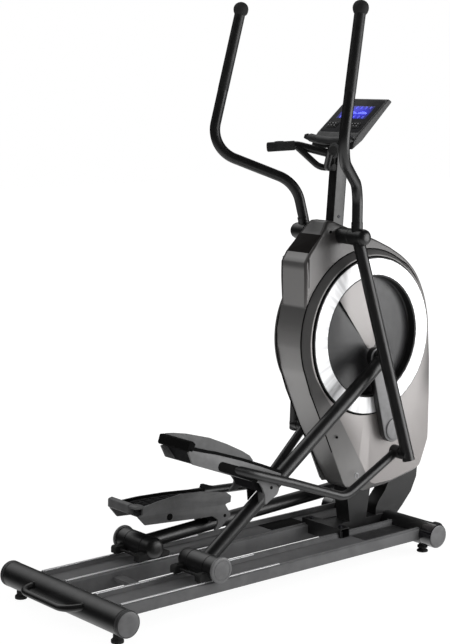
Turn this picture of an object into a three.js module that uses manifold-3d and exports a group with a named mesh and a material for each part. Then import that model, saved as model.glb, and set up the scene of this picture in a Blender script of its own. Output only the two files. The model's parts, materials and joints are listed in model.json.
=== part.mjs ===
// Elliptical trainer, built in millimetres: X forward, Y to the user's left, Z up from the floor.
// Lengths along X are laid out from the rear foot tube's axis; the last lines centre the machine.
import * as THREE from "three";
import { mergeVertices } from "three/addons/utils/BufferGeometryUtils.js";
import Module from "manifold-3d";

const wasm = await Module();
wasm.setup();

// ---------- Clearances ----------
const GAP = 0.3;
const RUNNING = 0.35;

// ---------- Base ----------
const FOOT_TUBE = { radius: 38, wall: 3, height: 64 };
const REAR = { x: 0, half: 293, capWidth: 18, footInset: 53 };
const FRONT = { x: 1246, half: 253, capWidth: 48, footInset: 68 };
const STEM_RADIUS = 6;
const TRANSPORT = { radius: 30, width: 18, inset: 28, forward: 16, up: 8, pin: 4 };
const CARRY = { radius: 10, half: 122, back: 84, height: 76, bend: 44 };
const TRACK = { inner: 61, outer: 203, bottom: 49, floor: 72, rib: 83 };
const RAIL = {
  outer: TRACK.outer - 10, inner: TRACK.inner + 14, width: 8, top: 86.8, from: 45, to: 624,
};
const TIE = { from: 202, to: 234, bottom: 56, top: 68 };
const CROSS = { from: 973, to: 1012, half: 90, bottom: 55, top: 101, wall: 3 };

// ---------- Pivots of the linkage, side view ----------
const CRANK = { x: 1174, z: 401, throw: 250, lean: 17.1 };
const PIVOT = { x: 999, z: 1024 };
const TUBE_LENGTH = 890;
const ROLLER_HEIGHT = 121;
const ARM_LENGTH = 668;
const LINK_LENGTH = 505;
const HINGE = { along: 278, above: 45 };

// ---------- Lateral planes of the linkage ----------
const CRANK_PLANE = { inner: 96, outer: 118, cap: 124 };
const TUBE_PLANE = 140;
const HEAD = { radius: 25, outer: 158 };
const ARM_PLANE = { top: 123, bottom: 270 };
const LINK_PLANE = 222;
const PEDAL = { inner: 70, outer: 207.5, wall: 4 };

// ---------- Shroud ----------
const RING = { x: 1102, z: 703, outer: 248.5, inner: 193.2, face: 92, seat: 82, gap: 3.5 };
const PLATFORM = { radius: 276, face: 84, base: 56, slope: 18 };
const DISH = { radius: 192.3, wall: 4, floor: 63, back: 58, rim: 90 };
const SHELL = 4;

// ---------- Tubes above ----------
const COLUMN_TOP = 1049;
const MAST = { foot: [1017, COLUMN_TOP + GAP], head: [1041, 1330], depth: 47, width: 35, wall: 3 };
const HANDLE = { radius: 16, grip: 18.2, ball: 20 };
const BAR = { radius: 13, grip: 16.8 };

const FINISH = {
  frame: { color: 0x1b1c1e, roughness: 0.42, metalness: 0.5 },
  track: { color: 0x2b2c2e, roughness: 0.5, metalness: 0.4 },
  chrome: { color: 0xe6e7ea, roughness: 0.16, metalness: 1 },
  shroud: { color: 0x9a9594, roughness: 0.36, metalness: 0.45 },
  spine: { color: 0x6f6c6c, roughness: 0.34, metalness: 0.45 },
  disc: { color: 0x39393b, roughness: 0.45, metalness: 0.1 },
  cap: { color: 0x8e8d8e, roughness: 0.5, metalness: 0.05 },
  plastic: { color: 0x1d1d1f, roughness: 0.55, metalness: 0 },
  gloss: { color: 0x0d0c0f, roughness: 0.12, metalness: 0 },
  rubber: { color: 0x141415, roughness: 0.85, metalness: 0 },
  screen: { color: 0x2a2fd0, roughness: 0.15, metalness: 0 },
  steel: { color: 0x8f9296, roughness: 0.3, metalness: 0.9 },
};

// ---------- Joining and cutting ----------
function solid(shape) {
  const plain = shape.index ? shape.toNonIndexed() : shape.clone();
  plain.deleteAttribute("normal");
  plain.deleteAttribute("uv");
  const welded = mergeVertices(plain, 1e-3);
  const corners = new Uint32Array(welded.index.array);
  const build = () =>
    new wasm.Manifold(
      new wasm.Mesh({
        numProp: 3,
        vertProperties: welded.attributes.position.array,
        triVerts: corners,
      }),
    );
  const made = build();
  if (made.volume() > 0) return made;
  for (let i = 0; i < corners.length; i += 3) {
    [corners[i + 1], corners[i + 2]] = [corners[i + 2], corners[i + 1]];
  }
  return build();
}

function geometry(made) {
  const mesh = made.getMesh();
  const shape = new THREE.BufferGeometry();
  shape.setAttribute("position", new THREE.BufferAttribute(mesh.vertProperties, 3));
  shape.setIndex(new THREE.BufferAttribute(mesh.triVerts, 1));
  return shape;
}

function join(...shapes) {
  return geometry(shapes.map(solid).reduce((all, next) => all.add(next)));
}

function cut(base, ...tools) {
  return geometry(tools.map(solid).reduce((rest, tool) => rest.subtract(tool), solid(base)));
}

function common(first, second) {
  return geometry(solid(first).intersect(solid(second)));
}

// ---------- Basic shapes ----------
function outline(corners) {
  const shape = new THREE.Shape();
  const count = corners.length;
  corners.forEach(([a, b, round = 0], i) => {
    const toward = ([c, d]) => new THREE.Vector2(c - a, d - b).normalize().multiplyScalar(round);
    const entry = toward(corners[(i + count - 1) % count]);
    const exit = toward(corners[(i + 1) % count]);
    if (i === 0) shape.moveTo(a + entry.x, b + entry.y);
    else shape.lineTo(a + entry.x, b + entry.y);
    if (round > 0) shape.quadraticCurveTo(a, b, a + exit.x, b + exit.y);
  });
  shape.closePath();
  return shape;
}

// A profile in X and Z, drawn across Y from one plane to the other.
function across(profile, from, to, edge = 0, inset = edge, offset = 0, steps = 3) {
  const shape = new THREE.ExtrudeGeometry(Array.isArray(profile) ? outline(profile) : profile, {
    depth: to - from - 2 * edge,
    bevelEnabled: edge > 0 || offset !== 0,
    bevelThickness: edge,
    bevelSize: inset,
    bevelOffset: offset - inset,
    bevelSegments: 1,
    curveSegments: steps,
  });
  return shape.rotateX(Math.PI / 2).translate(0, to - edge, 0);
}

// A profile in Y and Z, drawn along X.
function along(profile, from, to, steps = 4) {
  const shape = new THREE.ExtrudeGeometry(outline(profile), {
    depth: to - from,
    bevelEnabled: false,
    curveSegments: steps,
  });
  const turn = new THREE.Matrix4().makeBasis(
    new THREE.Vector3(0, 1, 0),
    new THREE.Vector3(0, 0, 1),
    new THREE.Vector3(1, 0, 0),
  );
  return shape.applyMatrix4(turn).translate(from, 0, 0);
}

function block(x0, x1, y0, y1, z0, z1) {
  const shape = new THREE.BoxGeometry(x1 - x0, y1 - y0, z1 - z0);
  return shape.translate((x0 + x1) / 2, (y0 + y1) / 2, (z0 + z1) / 2);
}

// Facets that keep a round face true to a third of a millimetre.
function sidesFor(radius) {
  if (radius < 7) return 8;
  if (radius < 15) return 10;
  if (radius < 30) return 14;
  if (radius < 60) return 18;
  return radius < 150 ? 28 : 50;
}

// A round hole's tool: its flats, not its corners, lie at the radius.
function bore(x, z, radius, from, to) {
  const sides = sidesFor(radius);
  return rod(x, z, radius / Math.cos(Math.PI / sides), from, to, sides);
}

function rod(x, z, radius, from, to, sides = sidesFor(radius)) {
  const shape = new THREE.CylinderGeometry(radius, radius, to - from, sides);
  return shape.translate(x, (from + to) / 2, z);
}

function post(x, y, radius, from, to, sides = sidesFor(radius)) {
  const shape = new THREE.CylinderGeometry(radius, radius, to - from, sides);
  return shape.rotateX(Math.PI / 2).translate(x, y, (from + to) / 2);
}

// A turned shape about a line along Y; each step is [radius, y].
function turned(x, z, steps, sides = sidesFor(Math.max(...steps.map(([r]) => r)))) {
  const profile = steps.map(([radius, y]) => new THREE.Vector2(radius, y));
  return new THREE.LatheGeometry(profile, sides).translate(x, 0, z);
}

// A turned shape about an upright line; each step is [radius, z].
function turnedUpright(x, y, steps, sides = 12) {
  const profile = steps.map(([radius, z]) => new THREE.Vector2(radius, z));
  return new THREE.LatheGeometry(profile, sides).rotateX(Math.PI / 2).translate(x, y, 0);
}

// A route of straight runs with round bends, sampled only where it turns.
class BentRoute extends THREE.Curve {
  constructor(corners, arcs) {
    super();
    const points = corners.map((c) => new THREE.Vector3(...c.slice(0, 3)));
    const last = points.length - 1;
    this.stations = [];
    const run = (i) => points[i + 1].clone().sub(points[i]).normalize();
    this.stations.push({ point: points[0], heading: run(0) });
    for (let i = 1; i < last; i++) this.bend(points[i], run(i - 1), run(i), corners[i][3], arcs);
    this.stations.push({ point: points[last], heading: run(last - 1) });
  }
  bend(corner, before, after, radius, arcs) {
    const turn = before.angleTo(after);
    const reach = radius * Math.tan(turn / 2);
    const axis = before.clone().cross(after).normalize();
    const inward = axis.clone().cross(before);
    const start = corner.clone().addScaledVector(before, -reach);
    const centre = start.clone().addScaledVector(inward, radius);
    for (let k = 0; k <= arcs; k++) {
      const swing = (turn * k) / arcs;
      const spoke = start.clone().sub(centre).applyAxisAngle(axis, swing);
      this.stations.push({
        point: centre.clone().add(spoke),
        heading: before.clone().applyAxisAngle(axis, swing),
      });
    }
  }
  station(u) {
    return this.stations[Math.round(u * (this.stations.length - 1))];
  }
  getPointAt(u, target = new THREE.Vector3()) {
    return target.copy(this.station(u).point);
  }
  getTangentAt(u, target = new THREE.Vector3()) {
    return target.copy(this.station(u).heading);
  }
}

// A round bar along corners [x, y, z, bend radius].
function bar(corners, radius, sides = 12, arcs = 4) {
  const route = new BentRoute(corners, arcs);
  const section = new THREE.Shape();
  for (let k = 0; k < sides; k++) {
    const turn = (2 * Math.PI * k) / sides;
    const point = [radius * Math.cos(turn), radius * Math.sin(turn)];
    if (k === 0) section.moveTo(...point);
    else section.lineTo(...point);
  }
  return new THREE.ExtrudeGeometry(section, {
    steps: route.stations.length - 1,
    extrudePath: route,
    bevelEnabled: false,
  });
}

function mirrored(shape) {
  return shape.clone().scale(1, -1, 1);
}

// A shape drawn for the user's left, moved to the asked side.
function onSide(shape, side) {
  return side > 0 ? shape : mirrored(shape);
}

function arc(x, z, radius, from, to, count) {
  return Array.from({ length: count + 1 }, (_, k) => {
    const turn = THREE.MathUtils.degToRad(from + ((to - from) * k) / count);
    return [x + radius * Math.cos(turn), z + radius * Math.sin(turn)];
  });
}

const machine = new THREE.Group();

function add(name, shape, finish, parent = machine) {
  const made = geometry(solid(shape));
  made.computeVertexNormals();
  const mesh = new THREE.Mesh(made, new THREE.MeshStandardMaterial(FINISH[finish]));
  mesh.name = name;
  parent.add(mesh);
}

const SIDES = [
  { tag: "l", side: 1 },
  { tag: "r", side: -1 },
];

// ---------- The linkage at rest ----------
function turnOf(dx, dz) {
  return Math.atan2(dz, dx);
}

function linkage(side) {
  const crankTurn = THREE.MathUtils.degToRad(90 + CRANK.lean) + (side > 0 ? Math.PI : 0);
  const pin = {
    x: CRANK.x + CRANK.throw * Math.cos(crankTurn),
    z: CRANK.z + CRANK.throw * Math.sin(crankTurn),
  };
  const rise = pin.z - ROLLER_HEIGHT;
  const roller = { x: pin.x - Math.sqrt(TUBE_LENGTH ** 2 - rise ** 2), z: ROLLER_HEIGHT };
  const tubeTurn = turnOf(pin.x - roller.x, rise);
  const hinge = {
    x: roller.x + HINGE.along * Math.cos(tubeTurn) - HINGE.above * Math.sin(tubeTurn),
    z: roller.z + HINGE.along * Math.sin(tubeTurn) + HINGE.above * Math.cos(tubeTurn),
  };
  const span = Math.hypot(PIVOT.x - hinge.x, PIVOT.z - hinge.z);
  const corner = (LINK_LENGTH ** 2 + span ** 2 - ARM_LENGTH ** 2) / (2 * LINK_LENGTH * span);
  const linkTurn = turnOf(PIVOT.x - hinge.x, PIVOT.z - hinge.z) - Math.acos(corner);
  const foot = {
    x: hinge.x + LINK_LENGTH * Math.cos(linkTurn),
    z: hinge.z + LINK_LENGTH * Math.sin(linkTurn),
  };
  const armTurn = turnOf(foot.x - PIVOT.x, foot.z - PIVOT.z);
  return { crankTurn, pin, roller, tubeTurn, hinge, linkTurn, foot, armTurn };
}

// The pose in which the arm and the pedal were drawn: the right side at rest.
const DRAWN = linkage(-1);

function group(point, turn) {
  const made = new THREE.Group();
  made.position.set(point.x, 0, point.z);
  made.rotation.y = -turn;
  machine.add(made);
  return made;
}

// ---------- Base ----------
function footTube(end) {
  const edge = end.half - end.capWidth - GAP;
  const { radius, wall, height } = FOOT_TUBE;
  const stems = [-1, 1].map((side) =>
    post(end.x, side * (end.half - end.footInset), STEM_RADIUS + 1, 0, height - radius / 2),
  );
  return cut(
    rod(end.x, height, radius, -edge, edge),
    rod(end.x, height, radius - wall, -edge - 1, edge + 1),
    ...stems,
  );
}

function rearCap() {
  const { radius, wall, height } = FOOT_TUBE;
  const face = REAR.half;
  const seam = face - REAR.capWidth;
  const plug = radius - wall - GAP;
  return turned(REAR.x, height, [
    [0, seam - 12], [plug, seam - 12], [plug, seam], [radius + 0.5, seam], [radius + 0.5, face - 3],
    [radius - 3, face], [0, face],
  ]);
}

function frontCap() {
  const { radius, wall, height } = FOOT_TUBE;
  const face = FRONT.half;
  const seam = face - FRONT.capWidth;
  const plug = radius - wall - GAP;
  const body = turned(FRONT.x, height, [
    [0, seam - 12], [plug, seam - 12], [plug, seam], [radius + 0.5, seam], [radius + 0.5, face - 3],
    [radius - 3, face], [0, face],
  ]);
  const y = face - TRANSPORT.inset;
  const half = TRANSPORT.width / 2 + 1;
  const x = FRONT.x + TRANSPORT.forward;
  const z = height + TRANSPORT.up;
  const slot = rod(x, z, TRANSPORT.radius + 1.5, y - half, y + half);
  const opening = block(x, x + 60, y - half, y + half, z - TRANSPORT.radius + 4, z + 40);
  return join(cut(body, slot, opening), rod(x, z, TRANSPORT.pin, y - half - 2, y + half + 2));
}

function transportWheel() {
  const y = FRONT.half - TRANSPORT.inset;
  const half = TRANSPORT.width / 2;
  const x = FRONT.x + TRANSPORT.forward;
  const z = FOOT_TUBE.height + TRANSPORT.up;
  const tread = TRANSPORT.radius;
  const body = turned(x, z, [
    [0, y - half], [tread - 2, y - half], [tread, y - half + 2], [tread, y + half - 2],
    [tread - 2, y + half], [0, y + half],
  ]);
  return cut(body, bore(x, z, TRANSPORT.pin + RUNNING, y - half - 1, y + half + 1));
}

function foot(x, y, pad) {
  const top = FOOT_TUBE.height - FOOT_TUBE.radius - GAP;
  const stemTop = FOOT_TUBE.height - FOOT_TUBE.radius / 2 - 4;
  return turnedUpright(x, y, [...pad, [12, top], [STEM_RADIUS, top], [STEM_RADIUS, stemTop], [0, stemTop]]);
}

const REAR_PAD = [[0, 0], [17, 0], [18, 1.5], [18, 9], [12, 14]];
const LEVELLER_PAD = [[0, 0], [17, 0], [18, 1.5], [18, 6], [8, 9], [8, 12], [16, 13], [16, 21], [12, 23]];

function carryHandle() {
  const { radius, half, back, height, bend } = CARRY;
  const loop = bar([
    [-20, half, height], [-back, half - 16, height, bend], [-back, 16 - half, height, bend],
    [-20, -half, height],
  ], radius, 12, 4);
  return cut(loop, rod(REAR.x, FOOT_TUBE.height, FOOT_TUBE.radius + GAP, -200, 200));
}

function track(side) {
  const { inner, outer, bottom, floor, rib } = TRACK;
  const tray = along([
    [inner, bottom], [outer, bottom], [outer, rib - 3], [outer - 3, rib], [outer - 16, rib],
    [outer - 17, floor], [inner + 22, floor], [inner + 21, rib], [inner + 3, rib], [inner, rib - 3],
  ], REAR.x + 10, FRONT.x - 10);
  const ribs = [RAIL.inner, RAIL.outer].map((y) => {
    const half = RAIL.width / 2;
    return block(RAIL.to + 1, FRONT.x - 10, y - half, y + half, rib - 1, RAIL.top);
  });
  const ends = [REAR.x, FRONT.x].map((x) => {
    return rod(x, FOOT_TUBE.height, FOOT_TUBE.radius + GAP, inner - 5, outer + 5);
  });
  const notch = block(CROSS.from - GAP, CROSS.to + GAP, inner - 5, CROSS.half + 1, CROSS.bottom - GAP, 120);
  const body = onSide(cut(join(tray, ...ribs), ...ends, notch), side);
  if (side < 0) return body;
  return join(body, block(TIE.from, TIE.to, GAP - inner, inner + 1, TIE.bottom, TIE.top));
}

function rail(y) {
  const half = RAIL.width / 2;
  return along([
    [y - half, TRACK.rib + GAP], [y + half, TRACK.rib + GAP], [y + half, RAIL.top, 1.2],
    [y - half, RAIL.top, 1.2],
  ], RAIL.from, RAIL.to);
}

// ---------- Frame ----------
const POST_PROFILE = [[1072, 90], [1143, 90], [1160, 190], [1156, 238], [1064, 238], [1057, 190]];
const COLUMN_PROFILE = [
  [1080, 200], [1150, 200], [1218, 368], [1218, 440], [1146, 500], [1140, 720], [1048, 985],
  [1040, COLUMN_TOP], [997, COLUMN_TOP], [968, 1010], [1062, 700], [1082, 420],
];
const LEG_PROFILE = [
  [1193, 90], [1193, 118], [1207, 142], [1234, 170], [1256, 206], [1262, 250], [1300, 300],
  [1366, 300], [1386, 250], [1380, 194], [1356, 148], [1315, 106], [1290, 84],
];
const POST_HALF = 30;
const COLUMN_HALF = 16;
const LEG_HALF = 25;
const FLYWHEEL = { radius: 168, from: -44, to: -22, shaft: 8, pulley: 24 };
const PULLEY = { radius: 150, from: 24, to: 38 };
const BELT = { thick: 3, from: 27, to: 35, slack: 1.2 };

function mainFrame() {
  const { from, to, half, bottom, top, wall } = CROSS;
  const cross = cut(
    block(from, to, -half, half, bottom, top),
    block(from + wall, to - wall, -half - 1, half + 1, bottom + wall, top - wall),
  );
  const beam = block(to - 1, FRONT.x, -POST_HALF, POST_HALF, bottom + 4, top - 5);
  const body = join(
    cross,
    beam,
    across(POST_PROFILE, -POST_HALF, POST_HALF),
    across(COLUMN_PROFILE, -COLUMN_HALF, COLUMN_HALF),
    across(LEG_PROFILE, -LEG_HALF, LEG_HALF),
    rod(CRANK.x, CRANK.z, 27, -20, 20),
    rod(PIVOT.x, PIVOT.z, 24, -27, 27),
  );
  return cut(
    body,
    rod(FRONT.x, FOOT_TUBE.height, FOOT_TUBE.radius + GAP, -60, 60),
    bore(CRANK.x, CRANK.z, 12.5 + RUNNING, -60, 60),
    bore(RING.x, RING.z, FLYWHEEL.shaft + RUNNING, -60, 60),
    bore(PIVOT.x, PIVOT.z, 12 + GAP, -60, 60),
  );
}

// ---------- Shroud ----------
const BODY_PROFILE = [
  [1045, 214], [1000, 292], [930, 417, 30], [878, 530, 30], [850, 612, 30], [832, 700, 30],
  [840, 770, 20], [849, 812], [846, 948, 8], [865, 977], [917, 1030], [950, 1069, 12], [975, 1069, 10],
  [1008, 1055], [1060, 1035], [1145, 994, 20], [1200, 973, 20], ...arc(RING.x, RING.z, 278, 60, 0, 8),
  [1389, 600, 20], [1392, 480], [1390, 330, 24], [1345, 232, 12], [1207, 206], [1104, 198],
];

function platformProfile(inset, steps) {
  return [
    [1021 + inset, 224 + inset], [911 + inset, 471],
    ...arc(RING.x, RING.z, PLATFORM.radius - inset, 200, 0, steps), [1386 - inset, 600], [1388 - inset, 480],
    [1386 - inset, 330, 24], [1343 - inset, 232 + inset, 12], [1207, 206 + inset], [1104, 198 + inset],
  ];
}

const WIDTHS = [[46, 150], [58, 430], [60, 900], [46, 1000], [37, 1045], [33, 1100]];

function widthLimit(less) {
  const right = WIDTHS.map(([y, z]) => [less - y, z]);
  const left = [...WIDTHS].reverse().map(([y, z]) => [y - less, z]);
  return along([...right, ...left], 700, 1500);
}

function shroudBody() {
  const body = common(across(BODY_PROFILE, -60, 60, 8, 6), widthLimit(0));
  const platforms = [1, -1].map((side) => {
    const { base, face, slope } = PLATFORM;
    const raised = across(platformProfile(0, 24), 10, face, face - base, slope);
    return onSide(cut(raised, block(700, 1500, -100, 20, 100, 1200)), side);
  });
  return join(body, ...platforms);
}

function shroudHollow() {
  const inside = common(
    across(BODY_PROFILE, -53, 53, 4, 2, -SHELL - 1),
    widthLimit(SHELL),
  );
  const pockets = [1, -1].map((side) => {
    const pocket = across(platformProfile(24, 14), 30, PLATFORM.face - 6);
    return onSide(cut(pocket, rod(RING.x, RING.z, RING.outer + RING.gap + 4, 53.5, 100, 30)), side);
  });
  return join(inside, ...pockets);
}

const SPINE = { half: 50, depth: 42 };

// The rear band of the shroud, as a solid used to part it from the side covers.
function spineBand(extra) {
  const rear = BODY_PROFILE.slice(0, 9).map(([x, z]) => [x - 30, z]);
  const front = BODY_PROFILE.slice(0, 8).reverse().map(([x, z]) => [x + SPINE.depth + extra, z]);
  const end = 985 + extra;
  const top = [[835, 990], [890, 1060], [930, 1110], [end, 1110], [end, 1030], [950 + extra, 1000]];
  const band = outline([...rear, ...top, [893 + extra, 945], ...front]);
  return across(band, -SPINE.half - extra, SPINE.half + extra);
}

const WINDOW = { low: [865, 977], high: [917, 1030], half: 44, thick: 4 };

function windowPlate(grow) {
  const [x0, z0] = WINDOW.low;
  const [x1, z1] = WINDOW.high;
  const size = Math.hypot(x1 - x0, z1 - z0);
  const plate = new THREE.BoxGeometry(size - 4 + 2 * grow, 2 * (WINDOW.half + grow), WINDOW.thick + 2 * grow);
  plate.rotateY(-turnOf(x1 - x0, z1 - z0));
  const sink = WINDOW.thick / 2 - 0.6;
  const nx = (z1 - z0) / size;
  const nz = -(x1 - x0) / size;
  return plate.translate((x0 + x1) / 2 + nx * sink, 0, (z0 + z1) / 2 + nz * sink);
}

function shroudShell() {
  const pivotHoles = [1, -1].map((side) => onSide(rod(PIVOT.x, PIVOT.z, 25 + GAP, 33.5, 100), side));
  const mastHole = block(980, 1062, -MAST.width / 2 - 1, MAST.width / 2 + 1, 1030, 1100);
  const postHole = block(1050, 1168, -POST_HALF - 1, POST_HALF + 1, 150, 262);
  const legHole = across(LEG_PROFILE, -LEG_HALF - 1, LEG_HALF + 1, 1, 0, 1.5);
  const discHoles = [1, -1].map((side) =>
    onSide(
      join(
        rod(RING.x, RING.z, RING.outer + RING.gap, RING.seat, 100, 54),
        rod(RING.x, RING.z, RING.inner, DISH.back - GAP, 100, 44),
      ),
      side,
    ),
  );
  return cut(
    shroudBody(),
    shroudHollow(),
    ...pivotHoles,
    mastHole,
    postHole,
    legHole,
    ...discHoles,
    rod(CRANK.x, CRANK.z, 15, -100, 100),
    windowPlate(GAP),
  );
}

const SHROUD = shroudShell();

function spineCover() {
  return common(SHROUD, spineBand(0));
}

function sideCover(side) {
  const half = block(700, 1500, GAP / 2, 200, 100, 1200);
  return cut(common(SHROUD, onSide(half, side)), spineBand(GAP));
}

function ringFace() {
  const { x, z, outer, inner, face, seat } = RING;
  return turned(x, z, [
    [inner, seat + GAP], [outer, seat + GAP], [outer, face - 1.5], [outer - 1.5, face],
    [inner + 2, face], [inner, face - 2], [inner, seat + GAP],
  ], 54);
}

function dish() {
  const { x, z } = RING;
  const { radius, wall, floor, back, rim } = DISH;
  const bowl = turned(x, z, [
    [0, back], [radius, back], [radius, rim], [radius - wall, rim], [radius - wall - 1, floor + 3],
    [radius - wall - 4, floor], [30, floor], [24, floor + 12], [0, floor + 15],
  ], 44);
  const wedge = across([[1090, 735], [1032, 868], [1100, 884], [1128, 736]], floor - 2, floor + 4);
  const trimmed = common(wedge, rod(x, z, radius - wall - 3, floor - 3, floor + 6, 44));
  return join(bowl, trimmed);
}

// ---------- Drive inside the shroud ----------
function drivePulley() {
  const { radius, from, to } = PULLEY;
  const wheel = turned(CRANK.x, CRANK.z, [
    [0, from], [radius + 4, from], [radius + 4, from + 1.5], [radius, from + 1.5], [radius, to - 1.5],
    [radius + 4, to - 1.5], [radius + 4, to], [0, to],
  ], 24);
  const holes = [0, 1, 2, 3, 4].map((k) => {
    const turn = (2 * Math.PI * k) / 5;
    return rod(CRANK.x + 92 * Math.cos(turn), CRANK.z + 92 * Math.sin(turn), 34, from - 1, to + 1, 8);
  });
  return join(cut(wheel, ...holes), rod(CRANK.x, CRANK.z, 12.5, -112, 112));
}

function flywheel() {
  const { radius, from, to, shaft, pulley } = FLYWHEEL;
  return turned(RING.x, RING.z, [
    [0, from - 6], [14, from - 6], [14, from], [radius, from], [radius, to], [14, to], [14, to + 4],
    [shaft, to + 4], [shaft, PULLEY.from - 3], [pulley + 4, PULLEY.from - 3],
    [pulley + 4, PULLEY.from + 1], [pulley, PULLEY.from + 1], [pulley, PULLEY.to - 1],
    [pulley + 4, PULLEY.to - 1], [pulley + 4, PULLEY.to + 1], [0, PULLEY.to + 1],
  ], 20);
}

function loopProfile(grow) {
  const big = { x: CRANK.x, z: CRANK.z, r: PULLEY.radius + BELT.slack + grow };
  const small = { x: RING.x, z: RING.z, r: FLYWHEEL.pulley + BELT.slack + grow };
  const line = THREE.MathUtils.radToDeg(turnOf(small.x - big.x, small.z - big.z));
  const span = Math.hypot(small.x - big.x, small.z - big.z);
  const lean = THREE.MathUtils.radToDeg(Math.acos((big.r - small.r) / span));
  return [
    ...arc(big.x, big.z, big.r, line + lean, line + 360 - lean, 24),
    ...arc(small.x, small.z, small.r, line - lean, line + lean, 6),
  ];
}

function belt() {
  const loop = across(loopProfile(BELT.thick), BELT.from, BELT.to);
  return cut(loop, across(loopProfile(0), BELT.from - 1, BELT.to + 1));
}

// ---------- Mast, handlebar and console ----------
function mast() {
  const [x0, z0] = MAST.foot;
  const [x1, z1] = MAST.head;
  const length = Math.hypot(x1 - x0, z1 - z0) + 60;
  const turn = turnOf(x1 - x0, z1 - z0);
  const half = MAST.depth / 2;
  const wide = MAST.width / 2;
  const section = [[-half, -wide, 4], [half, -wide, 4], [half, wide, 4], [-half, wide, 4]];
  const shrink = MAST.wall;
  const hollow = [
    [shrink - half, shrink - wide], [half - shrink, shrink - wide], [half - shrink, wide - shrink],
    [shrink - half, wide - shrink],
  ];
  const draw = (profile) => {
    const shape = new THREE.ExtrudeGeometry(outline(profile), {
      depth: length,
      bevelEnabled: false,
      curveSegments: 3,
    });
    shape.rotateY(Math.PI / 2 - turn);
    return shape.translate(x0 - 30 * Math.cos(turn), 0, z0 - 30 * Math.sin(turn));
  };
  const tube = cut(draw(section), draw(hollow), block(900, 1100, -60, 60, 900, z0));
  return cut(tube, across(consoleBack(-GAP), -60, 60));
}

// Everything behind the console's back plane, for trimming the mast's top.
function consoleBack(shift) {
  return [
    [1003, 1284 + shift], [1045, 1314 + shift], [1172, 1430 + shift], [1172, 1600], [900, 1600],
    [900, 1240],
  ];
}

const ARM_BEND = [935, 83, 1297, 60];
const ARM_END = [872, 146, 1291];

function fixedHandlebar() {
  const halves = [1, -1].flatMap((side) => {
    const flip = ([x, y, z, r]) => [x, side * y, z, r];
    return [
      bar([[1000, 0, 1271], flip(ARM_BEND), flip(ARM_END)], BAR.radius, 12, 3),
      bar([[1008, 0, 1231], [968, side * 14, 1229, 40], [929, side * 74, 1291]], 10, 10, 3),
    ];
  });
  const clamps = [[1231, 12], [1271, 13]].map(([z, r]) => {
    return rod(1000, z, r, -16, 16, 14);
  });
  const plate = block(992, 1016, -15, 15, 1222, 1283);
  const body = join(...halves, ...clamps, plate);
  const rear = (z) => {
    const lean = (MAST.head[0] - MAST.foot[0]) / (MAST.head[1] - MAST.foot[1]);
    return [MAST.foot[0] + (z - MAST.foot[1]) * lean - MAST.depth / 2 - 2 * GAP, z];
  };
  return cut(body, across([[1060, 1200], [1060, 1320], rear(1320), rear(1200)], -60, 60));
}

function gripSleeve(side) {
  const at = (share, lift = 0) => {
    const [x, y, z] = ARM_BEND.slice(0, 3).map((from, i) => from + (ARM_END[i] - from) * share);
    return [x, y, z + lift];
  };
  const sleeve = bar([at(0.3), at(1.06)], BAR.grip, 14);
  const core = bar([at(0), at(1.001)], BAR.radius + 1, 12);
  const ridge = bar([at(0.42, 9), at(0.86, 9)], 9.5, 10);
  return onSide(cut(join(sleeve, ridge), core), side);
}

const CONSOLE = { half: 92, foot: [1028, 1335], head: [1156, 1438] };
const FACE_TURN = turnOf(CONSOLE.head[0] - CONSOLE.foot[0], CONSOLE.head[1] - CONSOLE.foot[1]);

// A point on the console's sloping face: distance up the face and height above it.
function facePoint(up, above) {
  const [x, z] = CONSOLE.foot;
  return [
    x + up * Math.cos(FACE_TURN) - above * Math.sin(FACE_TURN),
    z + up * Math.sin(FACE_TURN) + above * Math.cos(FACE_TURN),
  ];
}

function faceBlock(up, across0, length, width, from, to) {
  const shape = new THREE.BoxGeometry(length, width, to - from);
  const [x, z] = facePoint(up, (from + to) / 2);
  return shape.rotateY(-FACE_TURN).translate(x, across0, z);
}

const DISPLAY = { up: 98, length: 64, width: 132, sunk: 2.5 };
const KEYS = [
  { name: "keypad_l", up: 36, y: 52 },
  { name: "keypad_r", up: 36, y: -46 },
];
const KEY = { length: 22, width: 40, rise: 2, sunk: 3, travel: 1.5 };

function consoleHousing() {
  const [x0, z0] = CONSOLE.foot;
  const [x1, z1] = CONSOLE.head;
  const wedge = across([
    [x0, z0], [1008, 1312], [1000, 1286], [1045, 1314], [1172, 1430, 5], [x1, z1, 5],
  ], -CONSOLE.half, CONSOLE.half, 2, 2);
  const ledge = bar([[1022, -145, 1327], [1014, 0, 1300, 700], [1022, 145, 1327]], 12, 14, 6);
  const recess = (up, y, { length, width }, depth) =>
    faceBlock(up, y, length + 2 * GAP, width + 2 * GAP, -depth, 8);
  const screen = recess(DISPLAY.up, 0, DISPLAY, DISPLAY.sunk);
  const keys = KEYS.map(({ up, y }) => recess(up, y, KEY, KEY.sunk + KEY.travel));
  return cut(join(wedge, ledge), screen, ...keys);
}

// ---------- Linkage parts ----------
function pivotAxle() {
  return turned(PIVOT.x, PIVOT.z, [
    [0, -149], [12, -149], [12, -98], [25, -98], [25, -34], [12, -34], [12, 34], [25, 34], [25, 98],
    [12, 98], [12, 149], [0, 149],
  ]);
}

function crankArm() {
  const { inner, outer, cap } = CRANK_PLANE;
  const big = 43;
  const small = 31;
  const lean = THREE.MathUtils.radToDeg(Math.acos((big - small) / CRANK.throw));
  const plate = across([
    ...arc(0, 0, big, lean, 360 - lean, 12),
    ...arc(CRANK.throw, 0, small, -lean, lean, 10),
  ], inner, outer, 3, 3);
  const cover = turned(0, 0, [
    [0, outer - 1], [34, outer - 1], [34, cap - 1.5], [31, cap], [0, cap],
  ]);
  return cut(join(plate, cover), bore(0, 0, 12.5 + GAP, inner - 5, 112 + GAP));
}

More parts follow.
